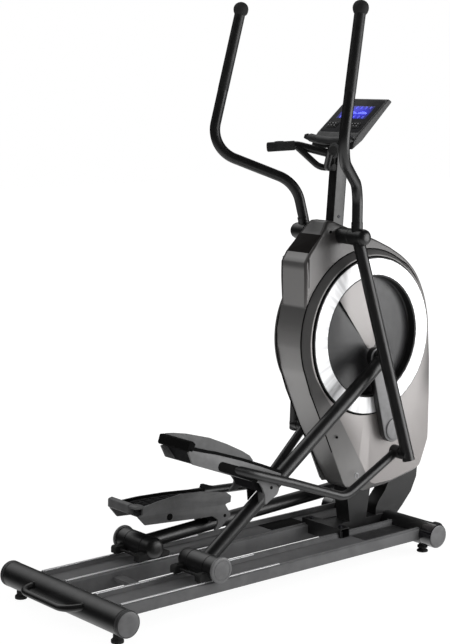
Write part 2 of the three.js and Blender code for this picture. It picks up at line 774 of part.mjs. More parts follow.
function mainTube() {
  const neck = CRANK_PLANE.outer + GAP;
  const tube = bar([[20, TUBE_PLANE, 0], [TUBE_LENGTH - 12, TUBE_PLANE, 0]], 19, 14);
  const head = turned(TUBE_LENGTH, 0, [
    [0, neck], [HEAD.radius - 2, neck], [HEAD.radius, neck + 2], [HEAD.radius, HEAD.outer - 3],
    [HEAD.radius - 3, HEAD.outer], [0, HEAD.outer],
  ]);
  const drum = rod(0, 0, 33, CARRIAGE.drumInner + GAP, CARRIAGE.drumOuter - GAP);
  const { inner, outer, wall } = PEDAL;
  const saddle = across([
    [HINGE.along - 34, 10], [HINGE.along + 30, 10], [HINGE.along + 15, HINGE.above],
    [HINGE.along, HINGE.above + 14], [HINGE.along - 15, HINGE.above],
  ], TUBE_PLANE - 26, TUBE_PLANE + 26);
  const spacer = rod(HINGE.along, HINGE.above, 15, inner + wall + 1, outer - wall - 1);
  const pin = rod(HINGE.along, HINGE.above, 6, inner - 5, outer + 5);
  const body = join(tube, head, drum, saddle, spacer, pin);
  return cut(body, bore(0, 0, CARRIAGE.axle + RUNNING, 50, 230));
}

const CARRIAGE = {
  axle: 12, inner: 53, drumInner: 100, drumOuter: 176, outer: 226,
  boxInner: RAIL.inner + 1, boxOuter: RAIL.outer - 3, boxWidth: 26, boxFrom: -62, boxTo: 56,
  boxBottom: -31, boxTop: -8, wheel: 14.4, wheelAt: -44, wheelAxle: 4,
  wheelDrop: RAIL.top + 14.4 + GAP - ROLLER_HEIGHT,
};

function carriage() {
  const c = CARRIAGE;
  const ends = [
    turned(0, 0, [
      [0, c.inner], [18, c.inner + 1.5], [29, c.inner + 8], [33, c.inner + 17], [33, c.drumInner],
      [0, c.drumInner],
    ]),
    turned(0, 0, [
      [0, c.drumOuter], [33, c.drumOuter], [33, c.outer - 9], [38, c.outer - 9], [38, c.outer - 2],
      [36, c.outer], [0, c.outer],
    ]),
    rod(0, 0, c.axle, c.drumInner - 1, c.drumOuter + 1),
  ];
  const boxes = [c.boxInner, c.boxOuter].map((y) => {
    const half = c.boxWidth / 2;
    const slope = [
      [c.boxFrom, c.boxBottom], [c.boxTo, c.boxBottom], [c.boxTo, c.boxTop - 8, 3], [c.boxTo - 26, c.boxTop],
      [c.boxFrom, c.boxTop, 3],
    ];
    return across(slope, y - half, y + half);
  });
  const skids = [c.boxInner, c.boxOuter].map((y) => {
    return block(24, 50, y - 4, y + 4, RAIL.top + GAP - ROLLER_HEIGHT, c.boxBottom + 2);
  });
  const wells = [c.boxInner, c.boxOuter].flatMap((y) => [
    rod(c.wheelAt, c.wheelDrop, c.wheel + 1.5, y - 9, y + 9, 12),
    block(c.wheelAt - c.wheel - 1, c.wheelAt + c.wheel + 1, y - 9, y + 9, -60, c.wheelDrop),
  ]);
  const axle = bore(c.wheelAt, c.wheelDrop, c.wheelAxle + GAP, c.boxInner - 6, c.boxOuter + 6);
  return cut(join(...ends, ...boxes, ...skids), ...wells, axle);
}

function wheelset() {
  const c = CARRIAGE;
  const wheels = [c.boxInner, c.boxOuter].map((y) =>
    turned(0, 0, [
      [0, y - 8], [c.wheel - 1.5, y - 8], [c.wheel, y - 6.5], [c.wheel, y + 6.5], [c.wheel - 1.5, y + 8],
      [0, y + 8],
    ]),
  );
  return join(...wheels, rod(0, 0, c.wheelAxle, c.boxInner - 5, c.boxOuter + 5));
}

function swingArm() {
  const foot = { x: DRAWN.foot.x - PIVOT.x, z: DRAWN.foot.z - PIVOT.z };
  const { top, bottom } = ARM_PLANE;
  const sleeve = turned(0, 0, [
    [0, 98 + GAP], [25, 98 + GAP], [26, 100], [26, 148], [25, 156], [20, 163], [0, 166.5],
  ]);
  const lower = bar([[0, top, 0], [foot.x * 1.03, bottom + 4, foot.z * 1.03]], 19, 14);
  const boss = turned(foot.x, foot.z, [
    [0, LINK_PLANE + 24 + GAP], [20, LINK_PLANE + 24 + GAP], [20, bottom + 8], [12, bottom + 14],
    [12, bottom + 20], [0, bottom + 20],
  ]);
  const stem = bar([[0, top, 0], [0, top, 44]], HANDLE.radius + 1.5, 14);
  return cut(join(sleeve, lower, boss, stem), bore(0, 0, 12 + RUNNING, 90, 149 + GAP));
}

const HANDLE_ROUTE = [
  [-3, 123, 44.3], [-4, 123, 153, 78], [-242, 299, 254, 96], [-149, 270, 690],
];

function pointOnRoute(height) {
  const [ax, ay, az] = HANDLE_ROUTE[2];
  const [bx, by, bz] = HANDLE_ROUTE[3];
  const t = (height - az) / (bz - az);
  return [ax + (bx - ax) * t, ay + (by - ay) * t, height];
}

function upperHandle() {
  return bar([...HANDLE_ROUTE.slice(0, 3), pointOnRoute(684)], HANDLE.radius, 14, 7);
}

function handleGrip() {
  const sleeve = bar([pointOnRoute(440), pointOnRoute(676)], HANDLE.grip, 14);
  const ball = new THREE.SphereGeometry(HANDLE.ball, 12, 8).translate(...pointOnRoute(684));
  const core = bar([pointOnRoute(400), pointOnRoute(686)], HANDLE.radius + GAP, 14);
  return cut(join(sleeve, ball), core);
}

function pedalArm() {
  const at = (x, z) => [x - DRAWN.hinge.x, LINK_PLANE, z - DRAWN.hinge.z];
  const tube = bar([
    at(DRAWN.foot.x, DRAWN.foot.z), [...at(862, 252), 70], [...at(649, 331), 300], at(391, 419),
  ], 14, 14, 4);
  const sleeve = turned(DRAWN.foot.x - DRAWN.hinge.x, DRAWN.foot.z - DRAWN.hinge.z, [
    [0, 208.5], [20, 208.5], [20, LINK_PLANE + 23], [0, LINK_PLANE + 23],
  ]);
  return join(tube, sleeve);
}

const PEDAL_TILT = THREE.MathUtils.degToRad(-20.8);

function pedal() {
  const { inner, outer, wall } = PEDAL;
  const rim = [[22, 68], [-20, 84], [-85, 90], [-190, 93], [-255, 88], [-312, 82], [-354, 78]];
  const body = across([
    ...rim, [-350, 44], [-330, 41], [-305, 10], [-115, 8], [-52, 6], [-30, -44], [-14, -52],
    [4, -44], [36, 6],
    [-2, 37], [20, 40],
  ], inner, outer, 1, 1);
  const bed = across([
    ...rim.slice(1, 6).map(([u, w]) => [u, w - 7]), [-336, 74], [-336, 130], [-8, 130], [-8, 79],
  ], inner + wall + 2, outer - wall - 2);
  const hollow = across([
    [-318, 60], [-296, 18], [-60, 14], [-34, 30], [-6, 46], [0, 60], [-20, 68], [-85, 74], [-190, 77],
    [-255, 72], [-312, 66],
  ], inner + wall, outer - wall);
  const under = across([
    [-292, -80], [60, -80], [60, 31], [-6, 34], [-30, 26], [-292, 26],
  ], inner + wall, outer - wall);
  const slots = Array.from({ length: 6 }, (_, row) => {
    const u = -290 + 44 * row;
    return [-1, 0, 1].map((lane) => {
      const y = (inner + outer) / 2 + 36 * lane;
      return block(u, u + 26, y - 7, y + 7, 60, 100);
    });
  });
  const hingeHole = bore(0, 0, 6 + RUNNING, 60, 220);
  return cut(body, bed, hollow, under, ...slots.flat(), hingeHole);
}

// ---------- Assembly ----------
add("rear_stabilizer", footTube(REAR), "frame");
add("front_stabilizer", footTube(FRONT), "frame");
add("carry_handle", carryHandle(), "frame");
add("main_frame", mainFrame(), "frame");
add("spine_cover", spineCover(), "spine");
add("window", windowPlate(0), "gloss");
add("drive_pulley", drivePulley(), "steel");
add("flywheel", flywheel(), "steel");
add("drive_belt", belt(), "rubber");
add("mast", mast(), "frame");
add("fixed_handlebar", fixedHandlebar(), "frame");
add("console_housing", consoleHousing(), "plastic");
add("display", faceBlock(DISPLAY.up, 0, DISPLAY.length, DISPLAY.width, GAP - DISPLAY.sunk, 0.4), "screen");
add("pivot_axle", pivotAxle(), "frame");
for (const { name, up, y } of KEYS) {
  add(name, faceBlock(up, y, KEY.length, KEY.width, GAP - KEY.sunk, KEY.rise), "rubber");
}

for (const { tag, side } of SIDES) {
  const rest = linkage(side);
  const mine = (shape) => onSide(shape, side);
  add("rear_cap_" + tag, mine(rearCap()), "cap");
  add("front_cap_" + tag, mine(frontCap()), "cap");
  add("transport_wheel_" + tag, mine(transportWheel()), "rubber");
  add("rear_foot_" + tag, foot(REAR.x, side * (REAR.half - REAR.footInset), REAR_PAD), "rubber");
  add("front_foot_" + tag, foot(FRONT.x, side * (FRONT.half - FRONT.footInset), LEVELLER_PAD), "rubber");
  add("track_" + tag, track(side), "track");
  add("rail_outer_" + tag, mine(rail(RAIL.outer)), "chrome");
  add("rail_inner_" + tag, mine(rail(RAIL.inner)), "chrome");
  add("side_cover_" + tag, sideCover(side), "shroud");
  add("ring_" + tag, mine(ringFace()), "chrome");
  add("disc_" + tag, mine(dish()), "disc");
  add("bar_grip_" + tag, gripSleeve(side), "rubber");

  const crank = group(CRANK, rest.crankTurn);
  add("crank_arm_" + tag, mine(crankArm()), "cap", crank);
  const tube = group(rest.roller, rest.tubeTurn);
  add("main_tube_" + tag, mine(mainTube()), "frame", tube);
  const base = group(rest.roller, 0);
  add("carriage_" + tag, mine(carriage()), "frame", base);
  const wheels = group({ x: rest.roller.x + CARRIAGE.wheelAt, z: rest.roller.z + CARRIAGE.wheelDrop }, 0);
  add("wheelset_" + tag, mine(wheelset()), "rubber", wheels);
  const arm = group(PIVOT, rest.armTurn - DRAWN.armTurn);
  add("swing_arm_" + tag, mine(swingArm()), "frame", arm);
  add("upper_handle_" + tag, mine(upperHandle()), "frame", arm);
  add("handle_grip_" + tag, mine(handleGrip()), "rubber", arm);
  const link = group(rest.hinge, rest.linkTurn - DRAWN.linkTurn);
  add("pedal_arm_" + tag, mine(pedalArm()), "frame", link);
  const plate = group(rest.hinge, rest.linkTurn - DRAWN.linkTurn + PEDAL_TILT);
  add("pedal_" + tag, mine(pedal()), "plastic", plate);
}

machine.updateMatrixWorld(true);
const reach = new THREE.Box3().setFromObject(machine);
machine.position.x = -(reach.min.x + reach.max.x) / 2;

export default machine;
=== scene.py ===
"""Elliptical trainer: the finished look of the machine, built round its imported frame."""
import json
import math

import bmesh
import bpy
from mathutils import Matrix, Vector

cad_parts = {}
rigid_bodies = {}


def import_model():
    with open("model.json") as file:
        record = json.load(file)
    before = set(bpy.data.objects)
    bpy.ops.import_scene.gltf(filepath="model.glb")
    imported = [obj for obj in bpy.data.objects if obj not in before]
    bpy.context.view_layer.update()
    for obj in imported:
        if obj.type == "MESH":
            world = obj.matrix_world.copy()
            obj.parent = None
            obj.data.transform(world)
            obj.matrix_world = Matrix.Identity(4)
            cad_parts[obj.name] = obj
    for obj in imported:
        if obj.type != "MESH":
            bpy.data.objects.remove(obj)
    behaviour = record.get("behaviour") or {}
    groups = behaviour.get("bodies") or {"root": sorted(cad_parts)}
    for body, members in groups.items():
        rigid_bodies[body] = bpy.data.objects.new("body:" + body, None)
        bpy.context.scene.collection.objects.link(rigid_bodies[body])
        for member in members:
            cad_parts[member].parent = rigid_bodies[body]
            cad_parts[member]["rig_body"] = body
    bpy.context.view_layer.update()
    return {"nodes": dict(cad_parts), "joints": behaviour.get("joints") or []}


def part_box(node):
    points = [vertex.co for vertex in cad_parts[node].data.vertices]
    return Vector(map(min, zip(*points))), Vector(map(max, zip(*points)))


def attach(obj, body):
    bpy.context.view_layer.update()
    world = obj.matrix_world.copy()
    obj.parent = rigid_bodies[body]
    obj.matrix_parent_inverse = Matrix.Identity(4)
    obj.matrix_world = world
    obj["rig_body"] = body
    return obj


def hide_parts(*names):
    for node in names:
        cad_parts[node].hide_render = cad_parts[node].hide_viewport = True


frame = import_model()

bl_info = {
    "name": "Elliptical Trainer",
    "version": (1, 0, 0),
    "blender": (4, 5, 0),
    "location": "3D View > Sidebar > Trainer",
    "description": "Builds the housing, tubes, pedals, console and finishes of an elliptical trainer",
    "category": "Add Mesh",
}

# Shapes are drawn in millimetres, with X counted forward from the rear foot tube's axis, Y to the
# user's left and Z up from the floor. HOME carries them into the frame's metres.
MM = 0.001
JOINT = {joint["name"]: Vector(joint["pos_m"]) for joint in frame["joints"] if "pos_m" in joint}


def centre(node):
    low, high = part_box(node)
    return (low + high) / 2


REAR_AXIS = centre("rear_stabilizer")
HOME = Matrix.Translation((REAR_AXIS.x, 0, 0)) @ Matrix.Scale(MM, 4)
SIDES = (("l", 1), ("r", -1))


def local(point):
    """A point of the frame, in the drawing's millimetres."""
    return HOME.inverted() @ Vector(point)


def extent(node):
    """The two corners of a frame node's box, in the drawing's millimetres."""
    return [local(corner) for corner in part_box(node)]


CRANK = local(JOINT["crank_turn"])
RING = local(JOINT["flywheel_spin"])
PIVOT = local(JOINT["arm_swing_r"])
REAR = local(REAR_AXIS)
FRONT = local(centre("front_stabilizer"))
FOOT_HEIGHT = REAR_AXIS.z / MM
FOOT_RADIUS = extent("rear_stabilizer")[1].z - FOOT_HEIGHT


# ---------- Sizes a user may change ----------
def length(name, text, default, top=1.0):
    """A length property in metres."""
    return bpy.props.FloatProperty(
        name=name, description=text, default=default, min=0.0, max=top, unit="LENGTH", subtype="DISTANCE")


def colour(name, text, default):
    return bpy.props.FloatVectorProperty(
        name=name, description=text, default=default, size=3, min=0.0, max=1.0, subtype="COLOR")


class TrainerSizes(bpy.types.PropertyGroup):
    """Small sizes of the finished surfaces."""
    seam: length("Housing seam", "Width of the dark line between two housing parts", 0.0016, 0.01)
    edge: length("Moulded edge", "Rounding of the housing's long edges", 0.007, 0.03)
    paint_edge: length("Painted edge", "Rounding of edges on painted sheet metal", 0.0015, 0.01)


class TrainerColours(bpy.types.PropertyGroup):
    """Base colours of the finishes."""
    paint: colour("Frame paint", "Satin black powder coat", (0.006, 0.006, 0.0062))
    housing: colour("Housing", "Metallic grey moulding", (0.27, 0.255, 0.25))
    spine: colour("Rear band", "Darker metallic grey moulding", (0.24, 0.235, 0.232))
    tray: colour("Tracks", "Textured grey powder coat", (0.105, 0.105, 0.107))
    disc: colour("Disc", "Recessed disc inside the ring", (0.02, 0.02, 0.021))
    cap: colour("Caps", "Moulded end caps and crank covers", (0.11, 0.11, 0.112))
    ring: colour("Ring", "Brushed bright ring", (0.86, 0.86, 0.87))
    screen: colour("Screen", "Backlight of the display", (0.01, 0.01, 0.6))


# ---------- Shader arithmetic ----------
SHADE_RAMP_TOP = 1.1  # the height in metres at which a painted shade ramp ends


class Value:
    """A number carried by a shader socket. Arithmetic on it adds Math nodes."""

    def __init__(self, finish, socket):
        self.finish = finish
        self.socket = socket

    def math(self, operation, first, second=0.0):
        return self.finish.node("ShaderNodeMath", {"operation": operation}, {0: first, 1: second})

    def __add__(self, other):
        return self.math("ADD", self, other)

    __radd__ = __add__

    def __sub__(self, other):
        return self.math("SUBTRACT", self, other)

    def __rsub__(self, other):
        return self.math("SUBTRACT", other, self)

    def __mul__(self, other):
        return self.math("MULTIPLY", self, other)

    __rmul__ = __mul__

    def __truediv__(self, other):
        return self.math("DIVIDE", self, other)

    def root(self):
        return self.math("SQRT", self)


class Finish:
    """One material: a Principled shader and the nodes that vary it over the surface."""

    def __init__(self, name, base, roughness, **constants):
        self.material = bpy.data.materials.new(name)
        self.material.use_nodes = True
        self.tree = self.material.node_tree
        self.tree.nodes.clear()
        self.shader = self.tree.nodes.new("ShaderNodeBsdfPrincipled")
        output = self.tree.nodes.new("ShaderNodeOutputMaterial")
        self.tree.links.new(self.shader.outputs[0], output.inputs["Surface"])
        self.shader.inputs["Base Color"].default_value = (*base, 1)
        self.shader.inputs["Roughness"].default_value = roughness
        self.material.diffuse_color = (*base, 1)
        for socket, value in constants.items():
            self.shader.inputs[socket.replace("_", " ")].default_value = value
        self.base = (*base, 1)

    def node(self, kind, settings=None, inputs=None, output=0):
        made = self.tree.nodes.new(kind)
        for key, value in (settings or {}).items():
            if key == "stops":
                self.set_stops(made.color_ramp.elements, value)
            else:
                setattr(made, key, value)
        for key, value in (inputs or {}).items():
            self.plug(made.inputs[key], value)
        return Value(self, made.outputs[output])

    def plug(self, socket, value):
        if isinstance(value, Value):
            self.tree.links.new(value.socket, socket)
        else:
            socket.default_value = value

    @staticmethod
    def set_stops(elements, stops):
        """Fills a colour ramp with greys, from stops of (place, grey)."""
        while len(elements) < len(stops):
            elements.new(1.0)
        for k, (place, grey) in enumerate(stops):
            elements[k].position = place
            elements[k].color = (grey, grey, grey, 1)

    def feed(self, socket, value):
        self.tree.links.new(value.socket, self.shader.inputs[socket])
        return self

    def place(self):
        return self.node("ShaderNodeTexCoord", output=3)

    def axes(self):
        split = self.node("ShaderNodeSeparateXYZ", inputs={0: self.place()}).socket.node
        return [Value(self, socket) for socket in split.outputs]

    def stretched(self, scale):
        return self.node("ShaderNodeVectorMath", {"operation": "MULTIPLY"}, {0: self.place(), 1: scale})

    def noise(self, size, detail=2.0, roughness=0.5, vector=None):
        """Soft noise from 0 to 1, its features about this size in metres."""
        inputs = {"Vector": vector or self.place(), "Scale": 1 / size, "Detail": detail, "Roughness": roughness}
        return self.node("ShaderNodeTexNoise", None, inputs)

    def cells(self, size):
        return self.node("ShaderNodeTexVoronoi", None, {"Vector": self.place(), "Scale": 1 / size})

    def lines(self, along, detail=2.0):
        """Noise that varies along one value only."""
        return self.node("ShaderNodeTexNoise", {"noise_dimensions": "1D"}, {"W": along, "Detail": detail})

    def step(self, value, low, high, start=0.0, end=1.0):
        """A smooth rise of value from start to end, between low and high."""
        inputs = {"Value": value, "From Min": low, "From Max": high, "To Min": start, "To Max": end}
        return self.node("ShaderNodeMapRange", {"interpolation_type": "SMOOTHSTEP"}, inputs)

    def mixed(self, factor, first, second):
        """A colour between first and second. A Mix node's colour sockets are its inputs 6 and 7."""
        return self.node("ShaderNodeMix", {"data_type": "RGBA"}, {0: factor, 6: first, 7: second}, 2)

    def shaded_by_height(self, tint, stops):
        """A colour times a factor that follows the height, from stops of (height in mm, factor): painted light and
        shade by height.
        """
        places = [(height * MM / SHADE_RAMP_TOP, factor) for height, factor in stops]
        factor = self.node("ShaderNodeValToRGB", {"stops": places}, {"Fac": self.axes()[2] / SHADE_RAMP_TOP})
        return self.node("ShaderNodeVectorMath", {"operation": "MULTIPLY"}, {0: tint, 1: factor})

    def bumped(self, height, distance, strength=0.5):
        inputs = {"Height": height, "Distance": distance, "Strength": strength}
        return self.feed("Normal", self.node("ShaderNodeBump", None, inputs))


def shade(base, factor):
    return (*[min(1.0, channel * factor) for channel in base[:3]], 1)


# ---------- Finishes ----------
def worn(finish, lighter=1.12, darker=0.9, size=0.05):
    """Faint mottling of a surface's colour."""
    cloud = finish.noise(size, 3.0)
    mask = finish.step(cloud, 0.3, 0.7)
    finish.feed("Base Color", finish.mixed(mask, shade(finish.base, darker), shade(finish.base, lighter)))
    return mask


def satin_paint(name, base, roughness=0.36, shine=0.5):
    """Powder coat: a fine orange-peel surface with faint handling marks."""
    finish = Finish(name, base, roughness, Specular_IOR_Level=shine)
    cloud = worn(finish)
    peel = finish.noise(0.0016, 1.0)
    finish.feed("Roughness", finish.noise(0.03, 4.0) * 0.14 + cloud * 0.05 + (roughness - 0.09))
    finish.bumped(peel, 0.00025, 0.35)
    return finish.material


def housing_plastic(name, base, stops):
    """Metallic lacquer on a moulding: fine flake and a soft clear coat, with light and shade painted into its colour by
    height.
    """
    finish = Finish(name, base, 0.4, Metallic=0.25, Coat_Weight=0.18, Coat_Roughness=0.28)
    flake = finish.cells(0.0009)
    cloud = finish.noise(0.22, 2.0)
    glint = finish.step(flake, 0.1, 0.8) * 0.5 + cloud * 0.5
    tint = finish.mixed(glint, shade(finish.base, 0.94), shade(finish.base, 1.06))
    shaded_tint = finish.shaded_by_height(tint, stops)
    # Painted shade: the colour darkens towards the housing's front rim, above about half a metre.
    x, _, z = finish.axes()
    front = finish.step(x - JOINT["flywheel_spin"].x, 0.2, 0.28) * finish.step(z, 0.45, 0.56)
    finish.feed("Base Color", finish.mixed(front * 0.8, shaded_tint, shade(finish.base, 0.2)))
    finish.feed("Roughness", finish.noise(0.004, 2.0) * 0.1 + 0.34)
    finish.bumped(finish.noise(0.0011, 1.0), 0.0001, 0.25)
    return finish.material


def moulded_plastic(name, base, roughness=0.55, grain=0.0013, depth=0.0003, shine=0.5):
    """Textured moulding, with its spark-eroded grain."""
    finish = Finish(name, base, roughness, Specular_IOR_Level=shine)
    worn(finish, 1.12, 0.9, 0.03)
    grit = finish.cells(grain)
    finish.feed("Roughness", finish.noise(0.02, 3.0) * 0.16 + (roughness - 0.08))
    finish.bumped(grit, depth, 0.45)
    return finish.material


def brushed_ring(name, base):
    """Spun bright metal: fine circles round the ring's axis, and the soft spokes of light they give, painted into its
    colour as highlights and shade.
    """
    finish = Finish(name, base, 0.34, Metallic=0.35)
    x, _, z = finish.axes()
    across = x - JOINT["flywheel_spin"].x
    up = z - JOINT["flywheel_spin"].z
    radius = (across * across + up * up).root()
    turn = finish.node("ShaderNodeMath", {"operation": "ARCTAN2"}, {0: up, 1: across})
    lines = finish.lines(radius * 2200)
    # The spokes are painted highlights and shade in the base colour.
    spokes = finish.lines(turn * 2.4 + 7.3, 1.0)
    streaks = finish.lines(turn * 46, 3.0)
    light = finish.step(spokes, 0.28, 0.7) * 0.84 + streaks * 0.08 + lines * 0.1
    finish.feed("Base Color", finish.mixed(light, shade(finish.base, 0.74), shade(finish.base, 1.1)))
    finish.feed("Roughness", lines * 0.1 + 0.4)
    finish.bumped(lines, 0.00003, 0.2)
    return finish.material


def polished_steel(name, base, streaks, roughness):
    """Drawn bright steel, its scratches along the bar."""
    finish = Finish(name, base, roughness, Metallic=1.0)
    lines = finish.noise(1.0, 3.0, 0.6, finish.stretched(streaks))
    finish.feed("Roughness", lines * 0.16 + (roughness - 0.06))
    finish.feed("Base Color", finish.mixed(lines, shade(finish.base, 0.82), shade(finish.base, 1.1)))
    return finish.material


def rubber(name, base, roughness=0.8):
    finish = Finish(name, base, roughness, Specular_IOR_Level=0.35)
    worn(finish, 1.4, 0.8, 0.03)
    finish.bumped(finish.noise(0.0009, 3.0, 0.7), 0.0003, 0.6)
    return finish.material


def foam_grip(name, base):
    """Closed-cell foam sleeve, finely pitted."""
    finish = Finish(name, base, 0.42, Specular_IOR_Level=0.4)
    worn(finish, 1.3, 0.8, 0.02)
    pits = finish.cells(0.0012)
    finish.bumped(pits, 0.0004, 0.5)
    return finish.material


def gloss_panel(name, base):
    finish = Finish(name, base, 0.09, Coat_Weight=0.5)
    finish.feed("Roughness", finish.noise(0.05, 4.0) * 0.08 + 0.06)
    return finish.material


def lit_screen(name, base):
    """A backlit display: an even glow, brighter at the middle, behind glossy glass."""
    finish = Finish(name, shade(base, 0.1)[:3], 0.3, Specular_IOR_Level=0.15)
    finish.base = (*base, 1)
    low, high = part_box("display")
    middle = (low + high) / 2
    _, y, z = finish.axes()
    side = (y - middle.y) / ((high.y - low.y) / 2)
    rise = (z - middle.z) / ((high.z - low.z) / 2)
    glow = 1 - finish.step(side * side + rise * rise, 0.1, 1.3)
    finish.feed("Emission Color", finish.mixed(glow, shade(finish.base, 0.12), finish.base))
    finish.shader.inputs["Emission Strength"].default_value = 0.9
    return finish.material


def glowing(name, base, strength):
    finish = Finish(name, base, 0.3)
    finish.shader.inputs["Emission Color"].default_value = (*base, 1)
    finish.shader.inputs["Emission Strength"].default_value = strength
    worn(finish, 1.05, 0.95, 0.01)
    return finish.material


FINISHES = {}
# Painted light and shade, as (height in mm, factor) on each housing finish's colour: the housing, crest and slope
# darken towards the top; the rear band has painted shade just below the step, at about 940 mm and at its top, and
# painted floor reflection lower down.
HOUSING_SHADE_BY_HEIGHT = ((250, 1.22), (450, 1.16), (580, 1.0), (700, 1.0), (780, 0.72), (850, 0.42), (940, 0.24), (1040, 0.12))
SPINE_SHADE_BY_HEIGHT = ((215, 0.55), (330, 0.75), (480, 1.35), (600, 1.5), (700, 0.95), (760, 0.5), (811, 0.36), (813, 1.1),
               (925, 1.05), (938, 0.42), (948, 0.42), (962, 0.9), (1020, 0.4), (1040, 0.14))
CREST_SHADE_BY_HEIGHT = ((300, 1.1), (900, 0.9))
SLOPE_SHADE_BY_HEIGHT = ((300, 1.1), (450, 0.78), (540, 0.48), (900, 0.36))
ALL_WAYS = (300, 300, 300)
ALONG_X = (4, 900, 900)


def make_finishes():
    tones = bpy.context.scene.trainer_colours
    recipes = {
        "paint": (satin_paint, tones.paint),
        "track_paint": (satin_paint, tones.tray, 0.5, 0.25),
        "housing": (housing_plastic, tones.housing, HOUSING_SHADE_BY_HEIGHT),
        "spine": (housing_plastic, tones.spine, SPINE_SHADE_BY_HEIGHT),
        "crest": (housing_plastic, tones.housing, CREST_SHADE_BY_HEIGHT),
        "slope": (housing_plastic, tones.spine, SLOPE_SHADE_BY_HEIGHT),
        "disc": (moulded_plastic, tones.disc, 0.4, 0.0008, 0.0001),
        "dark_wall": (moulded_plastic, (0.006, 0.006, 0.006), 0.5),
        "cap": (moulded_plastic, tones.cap, 0.42, 0.0011, 0.0002),
        "crank_cover": (moulded_plastic, shade(tones.cap, 1.5)[:3], 0.4, 0.0009, 0.0001),
        "plastic": (moulded_plastic, (0.02, 0.02, 0.021)),
        "pedal": (moulded_plastic, (0.076, 0.076, 0.077), 0.5),
        # The outer walls' lighter grey is painted light on the same black pedal plastic.
        "pedal_side": (moulded_plastic, (0.13, 0.13, 0.131), 0.5),
        "tread": (moulded_plastic, (0.008, 0.008, 0.009), 0.8, 0.0022, 0.0006, 0.15),
        "ring": (brushed_ring, tones.ring),
        "rail": (polished_steel, (0.55, 0.55, 0.56), ALONG_X, 0.4),
        "steel": (polished_steel, (0.5, 0.5, 0.52), ALL_WAYS, 0.3),
        "black_steel": (polished_steel, (0.05, 0.05, 0.055), ALL_WAYS, 0.36),
        "rubber": (rubber, (0.012, 0.012, 0.012)),
        "foam": (foam_grip, (0.007, 0.007, 0.0072)),
        "gloss": (gloss_panel, (0.004, 0.0035, 0.005)),
        "panel": (moulded_plastic, (0.004, 0.004, 0.006), 0.5, 0.0013, 0.0003, 0.1),
        "smoked": (moulded_plastic, (0.006, 0.0045, 0.004), 0.7, 0.0016, 0.0002, 0.12),
        "screen": (lit_screen, tones.screen),
        "segment": (glowing, (0.1, 0.13, 1.0), 1.1),
        "seam": (moulded_plastic, (0.003, 0.003, 0.003), 0.8, 0.0013, 0.0003, 0.08),
        "legend": (moulded_plastic, (0.5, 0.5, 0.52), 0.5, 0.0008, 0.00005),
    }
    for name, (recipe, *values) in recipes.items():
        FINISHES[name] = recipe(name, *values)


# ---------- Points and outlines ----------
def bent(corners, arcs=6, closed=False):
    """Straight runs joined by round bends. A corner is (x, y, z) or (x, y, z, bend radius)."""
    points = [Vector(corner[:3]) for corner in corners]
    count = len(points)
    made = []
    for i, corner in enumerate(corners):
        radius = corner[3] if len(corner) > 3 else 0
        ends = not closed and i in (0, count - 1)
        before = (points[i] - points[i - 1]).normalized()
        after = (points[(i + 1) % count] - points[i]).normalized()
        turn = before.angle(after, 0.0)
        if radius <= 0 or ends or turn < 0.01:
            made.append(points[i])
            continue
        reach = radius * math.tan(turn / 2)
        axis = before.cross(after).normalized()
        start = points[i] - before * reach
        middle = start + axis.cross(before) * radius
        for k in range(arcs + 1):
            made.append(middle + Matrix.Rotation(turn * k / arcs, 3, axis) @ (start - middle))
    return made


def outline(corners, arcs=5):
    """A closed side-view outline from corners (x, z) or (x, z, bend radius)."""
    return [(p.x, p.z) for p in bent([(c[0], 0, c[1], *c[2:]) for c in corners], arcs, closed=True)]


def dense(corners, step):
    """The same closed outline with no straight run longer than step."""
    made = []
    for i, here in enumerate(corners):
        after = corners[(i + 1) % len(corners)]
        parts = max(1, math.ceil(math.dist(here, after) / step))
        made += [(here[0] + (after[0] - here[0]) * k / parts, here[1] + (after[1] - here[1]) * k / parts)
                 for k in range(parts)]
    return made


def arc(x, z, radius, start, end, count):
    turns = [math.radians(start + (end - start) * k / count) for k in range(count + 1)]
    return [(x + radius * math.cos(t), z + radius * math.sin(t)) for t in turns]


def inset(corners, depth):
    """The outline moved inward by depth."""
    count = len(corners)
    area = sum(
        corners[i][0] * corners[(i + 1) % count][1] - corners[(i + 1) % count][0] * corners[i][1]
        for i in range(count))
    way = 1 if area > 0 else -1
    moved = []
    for i in range(count):
        here = Vector(corners[i])
        before = (here - Vector(corners[i - 1])).normalized()
        after = (Vector(corners[(i + 1) % count]) - here).normalized()
        normal = Vector((-before.y - after.y, before.x + after.x))
        scale = max(0.35, normal.length_squared / 2)
        moved.append(tuple(here + normal * way * depth / scale))
    return moved


